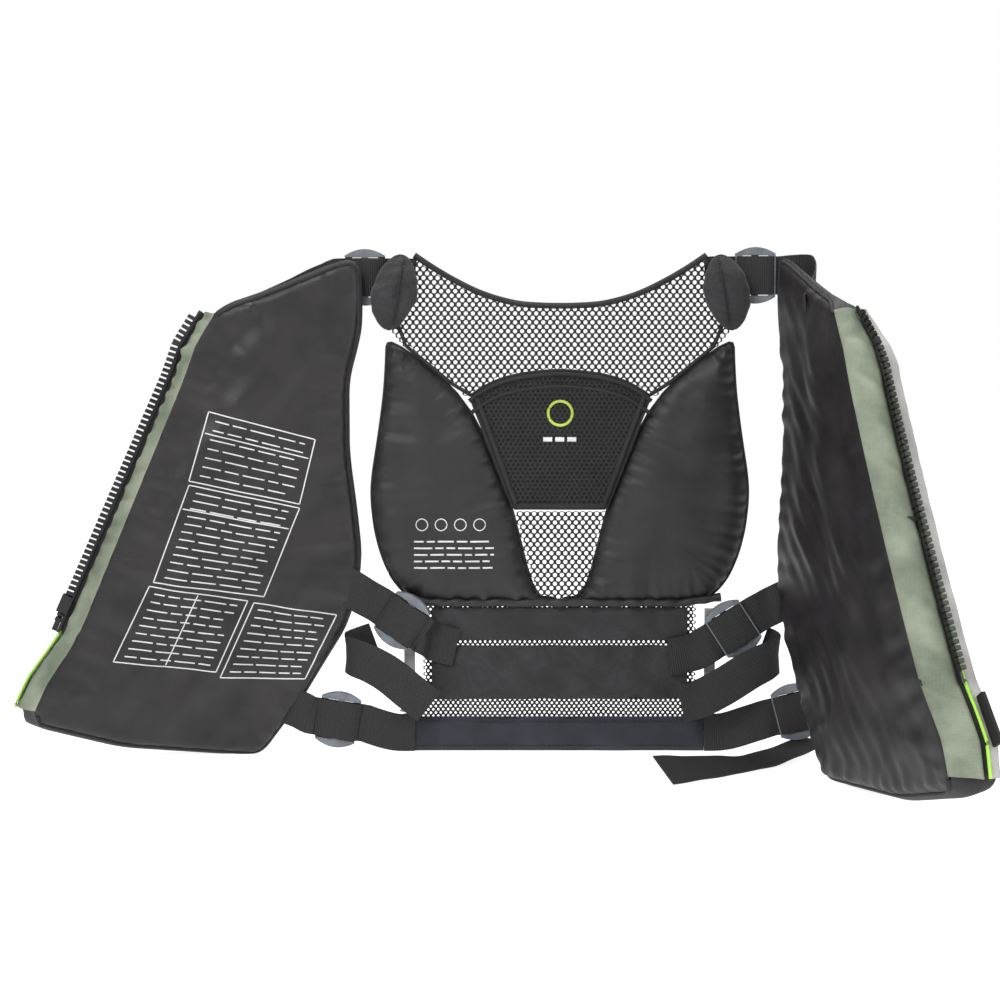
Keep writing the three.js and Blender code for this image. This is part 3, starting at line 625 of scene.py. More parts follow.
def outline(node, to_flat, facing):
    """The flat outline of a CAD node's face that points a given way."""
    mesh = frame["nodes"][node].data
    co = np.zeros(len(mesh.vertices) * 3)
    mesh.vertices.foreach_get("co", co)
    co = co.reshape(-1, 3) / MM - ORIGIN
    _, first, inverse = np.unique(np.round(co, 2), axis=0, return_index=True, return_inverse=True)
    inverse = inverse.reshape(-1)
    used = {}
    for polygon in mesh.polygons:
        if np.dot(polygon.normal, facing) < 0.6:
            continue
        ring = [int(inverse[v]) for v in polygon.vertices]
        for a, b in zip(ring, ring[1:] + ring[:1]):
            used[(a, b)] = used.get((a, b), 0) + 1
    after = {a: b for (a, b) in used if (b, a) not in used}
    loops = []
    while after:
        start = next(iter(after))
        loop = [start]
        while loop[-1] in after:
            step_to = after.pop(loop[-1])
            if step_to == start:
                break
            loop.append(step_to)
        loops.append(loop)
    loop = max(loops, key=len)
    return np.array([to_flat(co[first[i]]) for i in loop])


# ---------------------------------------------------------------- the back panel
def on_back(a, b, depth):
    """Across, up and depth (towards +Y) of the back panel, as jacket points."""
    return np.stack([a, depth, b], axis=1)


FRONT_FACE = (0, -1, 0)
across_up = lambda p: (p[0], p[2])

yoke_loop = outline("yoke_mesh", across_up, FRONT_FACE)
yoke_low, yoke_high = span("yoke_mesh")
YOKE_Y = (yoke_low[1] + yoke_high[1]) / 2


def yoke_relief(flat):
    return YOKE_Y + 1.2 * ripple(3, 130, flat[:, 0], flat[:, 1])


net("yoke", yoke_loop, on_back, 7.0, 4.4, (4.3, 4.3), NET, relief=yoke_relief, margin=0.5,
    body="back", slot="open_mesh", replaces=["yoke_mesh"])

# the neckline is bound with black tape
neck = yoke_loop[(yoke_loop[:, 1] > yoke_loop[:, 1].max() - 56) & (np.abs(yoke_loop[:,
    0]) < yoke_high[0] - 20)]
neck = neck[np.argsort(neck[:, 0])]
neck = curve(neck, 4)
tube("neck_binding", on_back(neck[:, 0], neck[:, 1] + 0.5, np.full(len(neck), YOKE_Y)), 3.0, EDGE,
    body="back", slot="pad_cloth")

# two back pads: nylon over foam, gathered along every seam
pad_surfaces = {}
for tag, side in SIDES:
    cover = f"back_pad_cover_{tag}"
    lo, hi = span(cover)
    sheet_back = span(f"back_pad_sheet_{tag}")[1][1]
    loop = soften(outline(cover, across_up, FRONT_FACE))
    middle = (lo[1] + sheet_back) / 2
    seed = 20 if side < 0 else 40

    def front(flat, d, s, middle=middle, lo=lo, seed=seed):
        full = middle - lo[1] + 2.5
        crown = full * (1 - np.exp(-d / 9.0)) * (0.93 + 0.07 * smooth(d, 10, 50))
        folds = puckers(d, s, seed, 2.1, 11, 15) + 1.0 * ripple(seed + 5, 52, flat[:, 0], flat[:,
            1]) * smooth(d, 4, 20)
        return middle - crown - folds

    def back(flat, d, s, middle=middle, hi=sheet_back, seed=seed):
        full = hi - middle + 1.5
        return middle + full * (1 - np.exp(-d / 8.0)) + puckers(d, s, seed + 9, 1.1, 8, 14)

    pad = slab(f"back_pad_{tag}", loop, on_back, front, back, PAD, step=2.6, wall=1, body="back",
        slot="pad_cloth",
               replaces=[cover, f"back_pad_sheet_{tag}", f"back_pad_foam_{tag}"])
    rim = resample(loop, 4, closed=True)
    pad_surfaces[tag] = {"rim": rim, "face": front}
    tube(f"back_pad_seam_{tag}", on_back(rim[:, 0], rim[:, 1], np.full(len(rim), middle)), 1.3, EDGE,
        closed=True,
         body="back", slot="pad_cloth")

# the hem under both pads is rolled
hem_low = span("back_pad_cover_r")[0][2]
hem_half = span("lower_back_mesh")[1][0] + 12
hem = np.linspace(-hem_half, hem_half, 90)
hem_z = hem_low + 3 + 6 * smooth(np.abs(hem), hem_half - 40, hem_half) + 0.5 * ripple(61, 30, hem)
tube("pad_hem", np.stack([hem, np.full(90, -3.0) + 0.6 * ripple(62, 24, hem), hem_z], axis=1),
    4.2 + 0.5 * ripple(63, 17, hem), PAD,
     body="back", slot="pad_cloth")

# the centre patch: coarse spacer mesh on a plain ground, with a bound edge and two raised arcs
patch_loop = outline("centre_patch", across_up, FRONT_FACE)
patch_lo, patch_hi = span("centre_patch")
PATCH_Y = patch_lo[1]


def dome(flat, d, s):
    return PATCH_Y - 1.0 * (1 - np.exp(-d / 12)) + 0.4 * ripple(71, 60, flat[:, 0], flat[:, 1])


slab("centre_patch_ground", patch_loop, on_back, dome, lambda f, d, s: np.full(len(f), patch_hi[1]), EDGE,
    step=5,
     body="back", slot="spacer_mesh", replaces=["centre_patch"])


def patch_place(a, b, depth):
    d, s = field(np.stack([a, b], axis=1), patch_loop)
    return on_back(a, b, dome(np.stack([a, b], axis=1), d, s) - 0.9 + depth)


net("centre_patch_mesh", patch_loop, patch_place, 4.9, 4.1, (3.0, 3.2), NET, sides=6, depth=1.2, margin=6,
    body="back", slot="spacer_mesh")
arc = patch_loop[patch_loop[:, 1] > patch_hi[2] - 30]
arc = arc[np.argsort(arc[:, 0])]
for i, drop in enumerate((3.0, 15.0)):
    line = curve(arc, 4)
    half = np.abs(line[:, 0]).max()
    line = np.stack([line[:, 0] * (1 - 0.02 * i), line[:, 1] - drop], axis=1)
    tube(f"patch_arc_{i}", on_back(line[:, 0], line[:, 1], np.full(len(line), PATCH_Y - 1.2)), 2.2, EDGE,
        body="back", slot="spacer_mesh")
rim = resample(patch_loop, 4, closed=True)
rim = rim[rim[:, 1] < patch_hi[2] - 28]
rim = rim[np.argsort(np.arctan2(rim[:, 0], patch_hi[2] - 40 - rim[:, 1]))]
strip_line = rim * np.array([0.93, 1]) + np.array([0, 4.0])
tube("patch_edge", on_back(strip_line[:, 0], strip_line[:, 1], np.full(len(rim), PATCH_Y - 0.2)), 3.6, EDGE,
    body="back", slot="spacer_mesh")

# a generic motif on the patch: a ring over a short broken bar
motif_z = patch_hi[2] - 42
turn = np.linspace(0, 2 * math.pi, 48, endpoint=False)
tube("motif_ring", on_back(12 * np.cos(turn), motif_z + 12 * np.sin(turn), np.full(48, PATCH_Y - 2.6)), 1.5,
    LIME_PRINT, closed=True,
     body="back", slot="piping")
for i in range(3):
    x = np.linspace(-17 + 12 * i, -8 + 12 * i, 10)
    tube(f"motif_bar_{i}", on_back(x, np.full(10, motif_z - 26.0), np.full(10, PATCH_Y - 2.2)), 2.4, PRINT,
        body="back", slot="placket")

lower_loop = outline("lower_panel_mesh", across_up, FRONT_FACE)
net("lower_panel", lower_loop, on_back, 7.0, 4.4, (4.3, 4.3), NET, relief=yoke_relief, margin=-1.0,
    body="back", slot="open_mesh", replaces=["lower_panel_mesh"])
# the mesh is sewn down under a narrow tape all round
rim = resample(soften(yoke_loop, 1), 3, closed=True)
tube("yoke_tape", on_back(rim[:, 0], rim[:, 1], yoke_relief(rim)), 1.9, EDGE, closed=True, body="back",
    slot="open_mesh")


# shoulder pads: they roll from the neckline over towards the arm opening
for tag, side in SIDES:
    node = f"shoulder_pad_{tag}"
    lo, hi = span(node)
    inner, outer = sorted((abs(lo[0]), abs(hi[0])))
    top, bottom = hi[2], lo[2]
    wide = outer - inner
    t = np.linspace(0, 1, 64)
    section = 40
    rows = []
    for k in range(section):
        a = 2 * math.pi * k / section
        grow = np.sin(np.pi * np.clip(t, 0, 1)) ** 0.55
        mid_x = inner + wide * (0.30 + 0.42 * t) + 4
        mid_z = bottom + (top - bottom) * (1 - t) - 4 * (1 - t)
        r_x = (wide * 0.8) * grow + 0.4
        r_y = 10.5 * grow + 0.4
        wrinkle = 0.9 * ripple(80 + (side > 0), 15, t * 80, np.full(64, math.cos(a) * 12)) * grow
        x = mid_x + (r_x + wrinkle) * math.cos(a)
        y = -4.0 - 3.5 * np.sin(np.pi * t) + (r_y + wrinkle) * math.sin(a) - 3.0 * math.cos(a) * math.cos(a)
        rows.append(np.stack([side * x, y, mid_z + 0 * x], axis=1))
    points = np.stack(rows, axis=1).reshape(-1, 3)
    faces = []
    for i in range(63):
        for k in range(section):
            m = (k + 1) % section
            faces.append([i * section + k, i * section + m, (i + 1) * section + m, (i + 1) * section + k])
    faces.append(list(range(section))[::-1])
    faces.append([63 * section + k for k in range(section)])
    pad = make(f"shoulder_roll_{tag}", points, faces, FINE_SPACER, body="back", slot="spacer_mesh",
        replaces=[node], sharp=0)
    # a seam runs down the roll; the plain cloth that faces its neck side is not modelled
    line = np.array([(inner + wide * (0.3 + 0.42 * k) + 2,
        bottom + (top - bottom) * (1 - k) - 4 * (1 - k)) for k in np.linspace(0.06, 0.94, 30)])
    bow = np.sin(np.pi * np.linspace(0.06, 0.94, 30)) ** 0.55
    seam = np.stack([side * (line[:, 0] - 2), -7.5 - 3.5 * bow - 10.2 * bow, line[:, 1]], axis=1)
    tube(f"shoulder_seam_{tag}", seam, 1.0, EDGE, body="back", slot="spacer_mesh")

# ---------------------------------------------------------------- the lower back
mesh_lo, mesh_hi = span("lower_back_mesh")
waist_lo, waist_hi = span("waist_band")
lumbar_hi = span("lumbar_band")[1]
upper_hi = span("upper_band")[1]


def slack(flat):
    """The loose mesh over the waist band billows a little."""
    low_down = 1 - smooth(flat[:, 1], waist_hi[2] + 12, lumbar_hi[2])
    return mesh_lo[1] + 0.5 + 2.2 * ripple(91, 52, flat[:, 0], flat[:, 1] * 1.6) * low_down


net("lower_back", outline("lower_back_mesh", across_up, FRONT_FACE), on_back, 5.0, 3.3, (2.7, 2.8), NET,
    sides=6, depth=0.8,
    relief=slack, margin=-1.5, body="back", slot="open_mesh", replaces=["lower_back_mesh"])


def band(name, node, material, seed, size, gather=24, **options):
    """A band of doubled cloth with shallow upright folds."""
    lo, hi = span(node)
    loop = np.array([(lo[0], lo[2]), (hi[0], lo[2]), (hi[0], hi[2]), (lo[0], hi[2])])
    middle = (lo[1] + hi[1]) / 2

    def folds(flat):
        upright = ripple(seed, gather, flat[:, 0], flat[:, 1] * 0.35)
        slanted = ripple(seed + 1, gather * 1.7, flat[:, 0] + flat[:, 1], flat[:, 1])
        return size * (0.6 * upright + 0.5 * slanted)

    half = (hi[1] - lo[1]) / 2
    return slab(name, loop, on_back, lambda f, d,
        s: middle - half * (1 - np.exp(-(d + 0.6) / 2.0)) - folds(f),
                lambda f, d, s: middle + half * (1 - np.exp(-(d + 0.6) / 2.0)) - folds(f), material, step=3,
                wall=1,
                body="back", replaces=[node], **options)


band("upper_band_cloth", "upper_band", FINE_SPACER, 101, 0.9, slot="spacer_mesh")
band("lumbar_band_cloth", "lumbar_band", FINE_SPACER, 111, 2.6, gather=30, slot="spacer_mesh")

# the waist band: soft knit over neoprene, rounded along its edges
waist_loop = np.array([(waist_lo[0], waist_lo[2]), (waist_hi[0], waist_lo[2]), (waist_hi[0], waist_hi[2]),
    (waist_lo[0], waist_hi[2])])


def belly(flat, d, s):
    return (0.4 + 2.6 * (1 - np.exp(-d / 3.2))) + 0.5 * ripple(121, 60, flat[:, 0], flat[:, 1] * 2)


waist = slab("waist_band_knit", waist_loop, on_back, lambda f, d, s: -belly(f, d, s), belly, NAVY, step=3,
    wall=1,
             body="back", slot="waist_neoprene", replaces=["waist_band"])
for i, z in enumerate((waist_lo[2] + 5, waist_hi[2] - 5)):
    x = np.linspace(waist_lo[0] + 12, waist_hi[0] - 12, 120)
    line = on_back(x, np.full(120, z), np.full(120, -3.1))
    stitches(f"waist_stitching_{i}", line, (0, -1, 0), THREAD, body="back", slot="waist_neoprene")

# grey bindings
for tag, side in SIDES:
    node = f"side_binding_{tag}"
    lo, hi = span(node)
    edge = side * (mesh_hi[0] + 0.9)
    tape_top = upper_hi[2]
    wide = 11.0
    # the tape runs down the edge, twists free below the lumbar band and comes back as a loop
    points = [
        (edge, -5.6, tape_top), (edge, -6.0, 120), (edge, -6.0, 96), (edge, -6.2, 74), (edge + side * 0.4,
        -7.0, 63),
        (edge - side * 1, -10.0, 58), (edge - side * 4, -16, 52), (edge - side * 3, -19, 45),
        (edge + side * 5, -12, 42),
        (side * 145, -4, 41),
    ]
    turns = [(0, (1, 0, 0)), (0.62, (1, 0, 0)), (0.78, (0.8, 0, 0.5 * side)), (1, (1, 0, 0.1))]
    strap(f"side_tape_{tag}", points, BINDING, turns=turns, width=wide, thick=1.6, wrinkle=0.35,
        seed=130 + (side > 0),
          body="back", slot="binding", replaces=[node])
    for i, shift in enumerate((-3.6, 3.6)):
        z = np.linspace(tape_top - 1, 68, 60)
        line = np.stack([np.full(60, edge + shift), np.full(60, -7.1), z], axis=1)
        stitches(f"side_tape_stitching_{tag}_{i}", line, (0, -1, 0), GREY_THREAD, length=2.6, gap=1.6,
            thick=0.35,
                 body="back", slot="binding")
    node = f"waist_binding_{tag}"
    lo, hi = span(node)
    x_out, x_in = (lo[0], hi[0]) if side < 0 else (hi[0], lo[0])
    ring = []
    for t in np.linspace(0, 1, 9):
        a = math.pi * t
        ring.append((x_out - side * 2.2 + side * 2.2 * math.sin(a), -(abs(lo[1]) - 0.8) * math.cos(a)))
    ring = [(x_in, ring[0][1])] + ring + [(x_in, ring[-1][1])]
    inner_ring = [(x - side * 0.9 * (0.2 < i < len(ring) - 1.2), y * 0.72) for i, (x, y) in enumerate(ring)]
    profile = ring + inner_ring[::-1]
    levels = np.linspace(lo[2], hi[2] + 0.5, 14)
    points = [[x + 0.4 * ripple(140, 14, z), y + 0.3 * ripple(141, 11, z), z] for z in levels for x,
        y in profile]
    count = len(profile)
    faces = []
    for i in range(len(levels) - 1):
        for k in range(count):
            m = (k + 1) % count
            faces.append([i * count + k, i * count + m, (i + 1) * count + m, (i + 1) * count + k])
    for k in range(len(ring) - 1):
        faces.append([k, k + 1, count - 2 - k, count - 1 - k])
        top = (len(levels) - 1) * count
        faces.append([top + k, top + count - 1 - k, top + count - 2 - k, top + k + 1])
    make(f"waist_end_binding_{tag}", points, faces, BINDING, body="back", slot="binding", replaces=[node],
        sharp=60)
    z = np.linspace(lo[2] + 2, hi[2] - 2, 30)
    line = np.stack([np.full(30, x_in + side * 2.4), np.full(30, lo[1] + 0.2), z], axis=1)
    stitches(f"waist_end_stitching_{tag}", line, (0, -1, 0), GREY_THREAD, length=2.6, gap=1.6, thick=0.35,
        body="back", slot="binding")


# ---------------------------------------------------------------- the front panels
def joint(name):
    return next(j for j in frame["joints"] if j["name"] == name)


GUSSET_W = 29.0  # from the lining to the zip
FLARE = 0.06  # how far the zip edge leans outwards
PANEL_T = 46.0  # thickness at the zip
TWIST = (80, 420)  # heights between which the panel turns
ZIP_TOP = (145.5, 440)  # across and up a panel, about where its zip edge starts
ZIP_FOOT = (323.5, 50)  # and where it ends


class Panel:
    """A front panel: u runs from the hinge line to the zip, v up, w from the lining outwards."""

    def __init__(self, tag, side, hinge_name):
        self.tag, self.side = tag, side
        self.hinge = jacket(joint(hinge_name)["pos_m"])
        mesh = frame["nodes"][f"front_lining_{tag}"].data
        p = np.array([jacket(v.co) for v in mesh.vertices])
        far = np.hypot(p[:, 0] - self.hinge[0], p[:, 1] - self.hinge[1]) > 85
        turn = np.degrees(np.arctan2(self.hinge[1] - p[:, 1], side * (p[:, 0] - self.hinge[0])))
        self.low_turn = turn[far & (p[:, 2] < TWIST[0])].mean()
        self.high_turn = turn[far & (p[:, 2] > TWIST[1])].mean()
        facing_turn = math.radians((self.low_turn + self.high_turn) / 2)
        facing = (-side * math.sin(facing_turn), -math.cos(facing_turn), 0)
        self.loop = outline(f"front_lining_{tag}", self.flat, facing)
        if area_of(self.loop) < 0:
            self.loop = self.loop[::-1]
        self.zip_line = self.front_edge()

    def flat(self, p):
        return (math.hypot(p[0] - self.hinge[0], p[1] - self.hinge[1]), p[2])

    def front_edge(self):
        """The straight-sided edge that carries the zip, from the top down."""
        top = self.loop[np.argmin(np.hypot(self.loop[:, 0] - ZIP_TOP[0], self.loop[:, 1] - ZIP_TOP[1]))]
        bottom = self.loop[np.argmin(np.hypot(self.loop[:, 0] - ZIP_FOOT[0], self.loop[:,
            1] - ZIP_FOOT[1]))]
        i = int(np.argmin(np.hypot(*(self.loop - top).T)))
        ring = np.roll(self.loop, -i, axis=0)
        j = int(np.argmin(np.hypot(*(ring - bottom).T)))
        forward, backward = ring[: j + 1], np.vstack([ring[:1], ring[j:][::-1]])
        return forward if forward[:, 0].mean() > backward[:, 0].mean() else backward

    def thickness(self, u, v):
        at_side = 0.5 + 0.5 * smooth(u, 0, 110)
        at_tip = 1 - 0.55 * smooth(v, 385, 470)
        at_hem = 1 - 0.3 * (1 - smooth(v, 10, 110))
        return at_side * at_tip * at_hem

    def place(self, u, v, w):
        turn = np.radians(np.interp(v, TWIST, (self.low_turn, self.high_turn)))
        out = w * self.thickness(u, v)
        along = u * (1 + FLARE * np.clip(w, 0, GUSSET_W) / GUSSET_W)
        x = self.hinge[0] + self.side * (along * np.cos(turn) + out * np.sin(turn))
        y = self.hinge[1] - along * np.sin(turn) + out * np.cos(turn)
        return np.stack([x, y, v + 0 * u], axis=1)

    def normal(self, u, v, w, lift=1.0):
        return self.place(u, v, w - lift) - self.place(u, v, w)


panels = {"r": Panel("r", -1, "front_right_hinge"), "l": Panel("l", 1, "front_left_hinge")}
BODY = {"r": "front_right", "l": "front_left"}
ROLL = 8.0  # radius of the lining's rolled edge
LINING_T = 1.4  # thickness of the lining cloth


def moved(line, distance):
    """A flat line moved sideways, towards +u where the line runs down."""
    step = np.gradient(line, axis=0)
    step /= np.maximum(np.linalg.norm(step, axis=1), 1e-9)[:, None]
    return line + distance * np.stack([-step[:, 1], step[:, 0]], axis=1)


for tag, side in SIDES:
    panel = panels[tag]
    body = BODY[tag]
    seed = 200 if side < 0 else 300
    zip_edge = resample(panel.zip_line, 4)

    def near_zip(flat, zip_edge=zip_edge):
        gaps = np.full(len(flat), 1e9)
        for q in zip_edge:
            gaps = np.minimum(gaps, np.hypot(flat[:, 0] - q[0], flat[:, 1] - q[1]))
        return gaps

    def lining_depth(flat, d, s, seed=seed, near_zip=near_zip):
        zip_gap = near_zip(flat)
        soft_edge = smooth(zip_gap, 2, 30)
        fall = rounded(d, ROLL) * (0.1 + 0.9 * soft_edge) * 1.3
        swell = -3.0 * smooth(d, 5, 60)
        gathers = puckers(d, s, seed, 2.3, 12, 18) * (0.15 + 0.85 * soft_edge)
        creases = 2.0 * ripple(seed + 3, 74, flat[:, 0] + 0.5 * flat[:, 1], flat[:, 1]) * smooth(d, 8, 50)
        fine = 0.6 * ripple(seed + 4, 27, flat[:, 0] + flat[:, 1] * 0.7, flat[:, 1] * 0.5) * smooth(d, 6,
            30)
        return fall + swell + gathers + creases + fine

    panel.lining_depth = lining_depth
    soft_loop = soften(panel.loop, 2)
    panel.soft_loop = soft_loop
    seam_w = ROLL * 1.3

    def lining_back(flat, d, s, front=lining_depth):
        return front(flat, d, s) + LINING_T

    slab(f"lining_{tag}", soft_loop, panel.place, lining_depth, lining_back, LINING, step=3.2, wall=1,
         body=body, slot="panel_cloth", replaces=[f"front_lining_{tag}"])

    def shell_front(flat, d, s, near_zip=near_zip):
        return np.where(d < 0.5, 4 + 6 * smooth(near_zip(flat), 2, 30), 14 + 0 * d)

    def shell_back(flat, d, s, seed=seed, near_zip=near_zip):
        soft_edge = smooth(near_zip(flat), 2, 40)
        drop = rounded(d, 16.0) * soft_edge
        gathers = puckers(d, s, seed + 11, 1.8, 10, 18)
        return PANEL_T - 2 - drop + 2.5 * smooth(d, 10, 60) - gathers + 0.8 * ripple(seed + 12, 60, flat[:,
            0], flat[:, 1])

    def side_swell(rim, near_zip=near_zip):
        return 4.0 * smooth(near_zip(rim), 4, 30) - 3.0 * (1 - smooth(near_zip(rim), 2, 12))

    shell = slab(f"shell_{tag}", soft_loop, panel.place, shell_front, shell_back, SHELL, step=4.5, wall=6,
        bulge=side_swell,
                 body=body, slot="panel_cloth", replaces=[f"front_shell_{tag}", f"front_foam_{tag}"])

    # cord in the seam between lining and shell
    rim = resample(soft_loop, 3.5, closed=True)
    keep = near_zip(rim) > 3
    start = int(np.argmax(~keep & np.roll(keep, -1)))
    rim = np.roll(rim, -start - 1, axis=0)
    keep = near_zip(rim) > 3
    rim = rim[keep]
    seam = panel.place(rim[:, 0], rim[:, 1], 1.0 + seam_w * (0.1 + 0.9 * smooth(near_zip(rim), 2, 30)))
    tube(f"panel_seam_{tag}", seam, 2.2, EDGE, body=body, slot="panel_cloth")

    # the gusset: gathered cloth between the lining and the zip
    edge = resample(panel.zip_line, 3.0)
    run = np.concatenate([[0], np.cumsum(np.linalg.norm(np.diff(edge, axis=0), axis=1))])
    direction = np.sign(moved(edge, 1.0)[len(edge) // 2, 0] - edge[len(edge) // 2, 0])
    rows, count = [], 11
    for skin in (0, 1):
        for k in range(count):
            t = k / (count - 1)
            w = 1.0 + (GUSSET_W - 1.5) * t
            wave = 1.7 * ripple(seed + 21, 15, run, np.full(len(run),
                12 * t)) * math.sin(math.pi * t) ** 0.7
            swell = 3.2 * math.sin(math.pi * t)
            line = moved(edge, direction * (0.6 + swell - 1.3 * skin))
            line = line + (moved(edge, direction) - edge) * wave[:, None]
            rows.append(panel.place(line[:, 0], line[:, 1], np.full(len(line), w)))
    n = len(edge)
    points = np.vstack(rows)
    faces = []
    for skin in (0, 1):
        for k in range(count - 1):
            for i in range(n - 1):
                a = (skin * count + k) * n + i
                faces.append([a, a + 1, a + n + 1, a + n])
    total = count * n
    for k in range(count - 1):
        for i in (0, n - 1):
            a = k * n + i
            faces.append([a, a + n, a + n + total, a + total])
    for i in range(n - 1):
        for k in (0, count - 1):
            a = k * n + i
            faces.append([a, a + 1, a + 1 + total, a + total])
    make(f"gusset_{tag}", points, faces, OLIVE, body=body, slot="gusset", replaces=[f"front_gusset_{tag}"],
        sharp=0)

    # zip tape, piping and placket
    def ribbon_between(name, w0, w1, out0, out1, material, thick=1.0, ruffle=0.0, **options):
        rows = []
        for skin in (0, 1):
            for k in range(6):
                t = k / 5
                w = w0 + (w1 - w0) * t
                shift = out0 + (out1 - out0) * t - thick * skin
                line = moved(edge, direction * shift)
                line = line + (moved(edge, direction) - edge) * (ruffle * ripple(seed + 31, 20, run,
                    np.full(len(run), 9 * t)))[:, None]
                rows.append(panel.place(line[:, 0], line[:, 1], np.full(len(line), w)))
        faces = []
        for skin in (0, 1):
            for k in range(5):
                for i in range(n - 1):
                    a = (skin * 6 + k) * n + i
                    faces.append([a, a + 1, a + n + 1, a + n])
        for k in range(5):
            for i in (0, n - 1):
                a = k * n + i
                faces.append([a, a + n, a + n + 6 * n, a + 6 * n])
        for i in range(n - 1):
            for k in (0, 5):
                a = k * n + i
                faces.append([a, a + 1, a + 1 + 6 * n, a + 6 * n])
        return make(name, np.vstack(rows), faces, material, body=body, sharp=0, **options)

    ribbon_between(f"placket_cloth_{tag}", GUSSET_W + 6.0, PANEL_T, 2.4, 1.6, PLACKET, 1.6, 0.5,
                   slot="placket", replaces=[f"placket_{tag}"])
    piping_line = moved(edge, direction * 3.4)
    tube(f"piping_cord_{tag}", panel.place(piping_line[:, 0], piping_line[:, 1], np.full(n,
        GUSSET_W + 4.0)), 1.5, LIME,
         body=body, slot="piping", replaces=[f"piping_{tag}"])
    tape_line = edge[edge[:, 1] > span(f"zip_tape_{tag}")[0][2]]
    rows = []
    for w, shift in ((GUSSET_W + 0.9, 0.3), (GUSSET_W + 0.9, 6.6), (GUSSET_W + 2.0, 6.6), (GUSSET_W + 2.0,
        0.3)):
        line = moved(tape_line, direction * shift)
        rows.append(panel.place(line[:, 0], line[:, 1], np.full(len(line), w)))
    m = len(tape_line)
    faces = [[k * m + i, k * m + i + 1, ((k + 1) % 4) * m + i + 1,
        ((k + 1) % 4) * m + i] for k in range(4) for i in range(m - 1)]
    faces += [[0, m, 2 * m, 3 * m], [m - 1, 2 * m - 1, 3 * m - 1, 4 * m - 1]]
    make(f"zip_tape_cloth_{tag}", np.vstack(rows), faces, TAPE, body=body, slot="zip_tape",
        replaces=[f"zip_tape_{tag}"], sharp=30)


def keep_node(node, material, bevel=0.5, swell=0.0):
    """A CAD node that stays, with a material and softened edges."""
    obj = frame["nodes"][node]
    obj.data.materials.clear()
    obj.data.materials.append(material)
    weld = obj.modifiers.new("weld", "WELD")
    weld.merge_threshold = 0.00002
    if swell:
        fat = obj.modifiers.new("fat", "DISPLACE")
        fat.strength = swell * MM
        fat.mid_level = 0
    if bevel:
        soft = obj.modifiers.new("soft", "BEVEL")
        soft.width = bevel * MM
        soft.segments = 2
        soft.limit_method = "ANGLE"
        soft.angle_limit = math.radians(35)


for tag, _ in SIDES:
    keep_node(f"zip_teeth_{tag}", BLACK_PLASTIC, 0.4, swell=0.55)
    for place in ("upper", "waist", "shoulder"):
        keep_node(f"adjuster_{place}_{tag}", GREY_PLASTIC, 0.7)
keep_node("zip_slider", BLACK_PLASTIC, 0.5)
keep_node("zip_pull", BLACK_PLASTIC, 0.6)


# ---------------------------------------------------------------- webbing
def adjuster_run(node):
    """Centre and axes of an adjuster: along the strap, across it, and its third direction."""
    slide = next(j for j in frame["joints"] if j["child"] == node)
    along = np.array(slide["axis"], float)
    lo, hi = span(node)
    centre = (lo + hi) / 2
    flat_out = np.array([along[0], along[1], 0])
    flat_out /= np.linalg.norm(flat_out)
    across = np.array([flat_out[0] * along[2], flat_out[1] * along[2], -math.hypot(along[0], along[1])])
    return centre, along, across, np.cross(along, across)


def through(node, *distances):
    """Points on the straight run through an adjuster."""
    centre, along, _, _ = adjuster_run(node)
    return [tuple(centre + along * d) for d in distances]


STRAIGHT = (-28, -23, 23, 28)
band_front = span("lumbar_band")[0][1] - 1.4
waist_front = span("waist_binding_r")[0][1] - 1.4


def crossing(name, tag, nodes, points, **options):
    """One strap that bends at the hinge line of a front panel."""
    piece = strap(name, points, slot="webbing", replaces=nodes, **options)
    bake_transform(piece)
    return piece


crossing("upper_strap_r", "r", ["upper_strap_back_r", "upper_strap_front_r"], [
    (-104, band_front - 1, 106), (-112, band_front - 1, 108), (-121, band_front - 1.6, 110.5), (-128,
    band_front - 4, 113),
    *through("adjuster_upper_r", *STRAIGHT), (-196, -7.4, 158), (-212, -8, 168), (-232, -8, 180),
])
crossing("upper_strap_l", "l", ["upper_strap_back_l", "upper_strap_front_l"], [
    (110, band_front - 1, 97), (118, band_front - 1, 98), (130, band_front - 1.2, 100.5), (139,
    band_front - 4, 104),
    *through("adjuster_upper_l", *STRAIGHT), (212, -19.5, 151), (221, -30, 158), (229, -48, 163), (236, -66,
    166),
])
crossing("waist_strap_r", "r", ["waist_strap_back_r", "waist_strap_front_r"], [
    (-146, waist_front, 19.6), (-166, waist_front, 20), (-190, -6.6, 27),
    *through("adjuster_waist_r", *STRAIGHT), (-262, -14, 45), (-300, -15, 58),
])
crossing("waist_strap_l", "l", ["waist_strap_back_l", "waist_strap_front_l"], [
    (146, waist_front, 19.6), (166, waist_front, 20.5), (192, -13, 30),
    *through("adjuster_waist_l", *STRAIGHT), (268, -36, 52), (266, -62, 56), (250, -92, 60),
])
shoulder_r = adjuster_run("adjuster_shoulder_r")[0]
shoulder_l = adjuster_run("adjuster_shoulder_l")[0]
crossing("shoulder_strap_r", "r", ["shoulder_strap_back_r", "shoulder_strap_front_r"], [
    (-144.5, 10.1, shoulder_r[2] - 0.5), (-156, 10.3, shoulder_r[2]), *through("adjuster_shoulder_r",
    *STRAIGHT),
    (-229, 12.6, 474), (-243, 11, 468), (-262, 6, 458), (-290, 2, 445),
])
crossing("shoulder_strap_l", "l", ["shoulder_strap_back_l", "shoulder_strap_front_l"], [
    (144.5, 10.1, shoulder_l[2] - 0.5), (156, 10.3, shoulder_l[2]), *through("adjuster_shoulder_l",
    *STRAIGHT[:3]),
    (230, 8, 480), (244, -15, 479), (246, -31, 474), (244, -52, 462), (236, -76, 448), (228, -96, 438),
])
